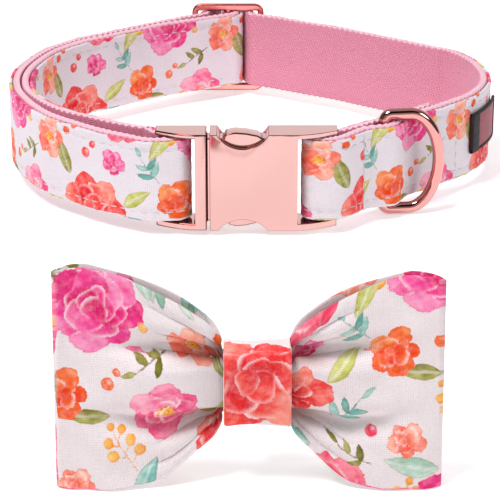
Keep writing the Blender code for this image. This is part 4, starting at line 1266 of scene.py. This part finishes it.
section = knot_section()
section_out = right_of(section)
knot_run = run_of(section)
across = np.linspace(-1, 1, KNOT_COLUMNS)
edge_round = np.sqrt(1 - np.clip((np.abs(across) - ROUND_FROM) / (1 - ROUND_FROM), 0, 1) ** 2)
turn = np.linspace(0, 2 * math.pi, len(section))[:, None]
slim = 1 - across[None, :] ** 2
depth = -KNOT_WAIST * slim - EDGE_TUCK * (1 - edge_round[None, :])
depth = depth + KNOT_FOLD * np.sin(6 * turn + 1.6 * across[None, :]) * slim
outer = section[:, None, :] + section_out[:, None, :] * depth[:, :, None]
lining = np.repeat((section - section_out * KNOT_WALL)[:, None, :], LINING_ROWS, axis=1)
yz = np.concatenate([outer, lining, outer[:, :1]], axis=1)
lining_across = np.linspace(LINING_REACH, -LINING_REACH, LINING_ROWS)
xs = np.concatenate([across, lining_across, across[:1]]) * KNOT_WIDTH / 2
xs = np.broadcast_to(xs[None, :, None], (*yz.shape[:2], 1))
places = np.concatenate([xs, yz], axis=2) + BOW_PLACE + (0, 0, BOW_HEIGHT / 2 - WAIST_DROP)
places[-1] = places[0]
# Flat spots of the lining only have to lie beyond those of the outer face
lining_widths = KNOT_WIDTH / 2 + np.linspace(0.001, 0.014, LINING_ROWS)
widths = np.concatenate([across * KNOT_WIDTH / 2, lining_widths, [0.024]])
sheet = lay_sheet(places, flat_grid(knot_run, widths)[:, :, ::-1], True, True)
knot = finish_mesh("bow_knot_print", sheet, "collar", "bow_knot", bow_cotton)
print_cloth(knot, (11.2, -4.2), KNOT_PRINT_SCALE)
print("knot strip in mm:", round(KNOT_WIDTH * 1000, 1), round(float(knot_run[-1]) * 1000, 1))

# %% [markdown]
# ## Elastic
#
# A short loop of knitted elastic lies flat behind the knot. It keeps its solid and gets the ribs that
# the rubber threads give such a band.

# %% Elastic
RIB_STEP = 0.0011

elastic, tree, shader = mottled("knitted_elastic", "#F1EAED", "#E2D9DD", 700.0, Roughness=0.8)
emboss(tree, shader, waves(tree, object_spot(tree), "X", RIB_STEP), 0.6, 0.0003)
elastic_finish = frame["nodes"]["bow_elastic"].data.materials
elastic_finish.clear()
elastic_finish.append(elastic)
print("ribs on the elastic every", RIB_STEP * 1000, "mm")

# %% [markdown]
# ## Studio
#
# A white floor, a bright room and two large soft lamps, as in a product photograph. The room is dark
# in one band above the camera, dimmer at both sides and brightest on the far side. Polished faces
# mirror these parts, so their edges show as thin dark and bright lines.

# %% Floor
FLOOR_HALF = 1.5
FLOOR_DROP = 0.0002

bm = bmesh.new()
bmesh.ops.create_grid(bm, x_segments=1, y_segments=1, size=FLOOR_HALF * 2)
floor_mesh = bpy.data.meshes.new("floor")
bm.to_mesh(floor_mesh)
bm.free()
floor = bpy.data.objects.new("floor", floor_mesh)
floor.location = (0, 0, -FLOOR_DROP)
bpy.context.scene.collection.objects.link(floor)
table, _, _ = mottled("white_light_table", "#E2E2E2", "#DEDEDE", 20.0, Roughness=0.9, Specular_IOR_Level=0.1,
                      Emission_Color=linear("#FFFFFF"), Emission_Strength=0.50)
floor_mesh.materials.append(table)

# %% Room
FAR_SIDE = (2.3, 2.3, 2.3, 1.0)
ROOM_STRENGTH = 0.46

world = bpy.data.worlds.new("room")
bpy.context.scene.world = world
world.use_nodes = True
tree = world.node_tree
way = add_node(tree, "ShaderNodeTexCoord").outputs["Generated"]
x, y, z = add_node(tree, "ShaderNodeSeparateXYZ", [(0, way)]).outputs
# Dark from about 30 to 70 degrees up, on the camera's side only
band = calculate(tree, "MULTIPLY", remap(tree, z, 0.985, 0.93), remap(tree, z, 0.42, 0.55))
dark = calculate(tree, "MULTIPLY", remap(tree, y, -0.18, -0.34), band)
room = blend(tree, dark, "#FFFFFF", "#3E2826")
# Dimmer at both sides, and bright on the far side
flank = remap(tree, calculate(tree, "ABSOLUTE", x), 0.45, 0.75, 0.0, 0.8)
dimmed = blend(tree, flank, room, "#4A3A3A")
background = tree.nodes["Background"]
tree.links.new(blend(tree, remap(tree, y, 0.35, 0.75), dimmed, FAR_SIDE), background.inputs["Color"])
background.inputs["Strength"].default_value = ROOM_STRENGTH


# %% Lamps
def soft_lamp(name, place, aim, size, watts):
    """A square lamp at a place, aimed at the object."""
    data = bpy.data.lights.new(name, "AREA")
    data.size = size
    data.energy = watts
    lamp = bpy.data.objects.new(name, data)
    lamp.location = place
    lamp.rotation_euler = (Vector(aim) - Vector(place)).to_track_quat("-Z", "Y").to_euler()
    bpy.context.scene.collection.objects.link(lamp)


soft_lamp("key_lamp", (-0.42, -0.34, 1.12), (0, -0.03, 0.02), 0.40, 14.0)
soft_lamp("side_lamp", (0.75, -0.35, 0.45), (0, 0, 0.02), 0.30, 2.2)
bpy.context.scene.view_settings.view_transform = "Standard"
bpy.context.scene.view_settings.gamma = 0.92
print("studio ready")

# %% [markdown]
# ## Finish
#
# The scene is brought up to date.

# %% Finish
bpy.context.view_layer.update()
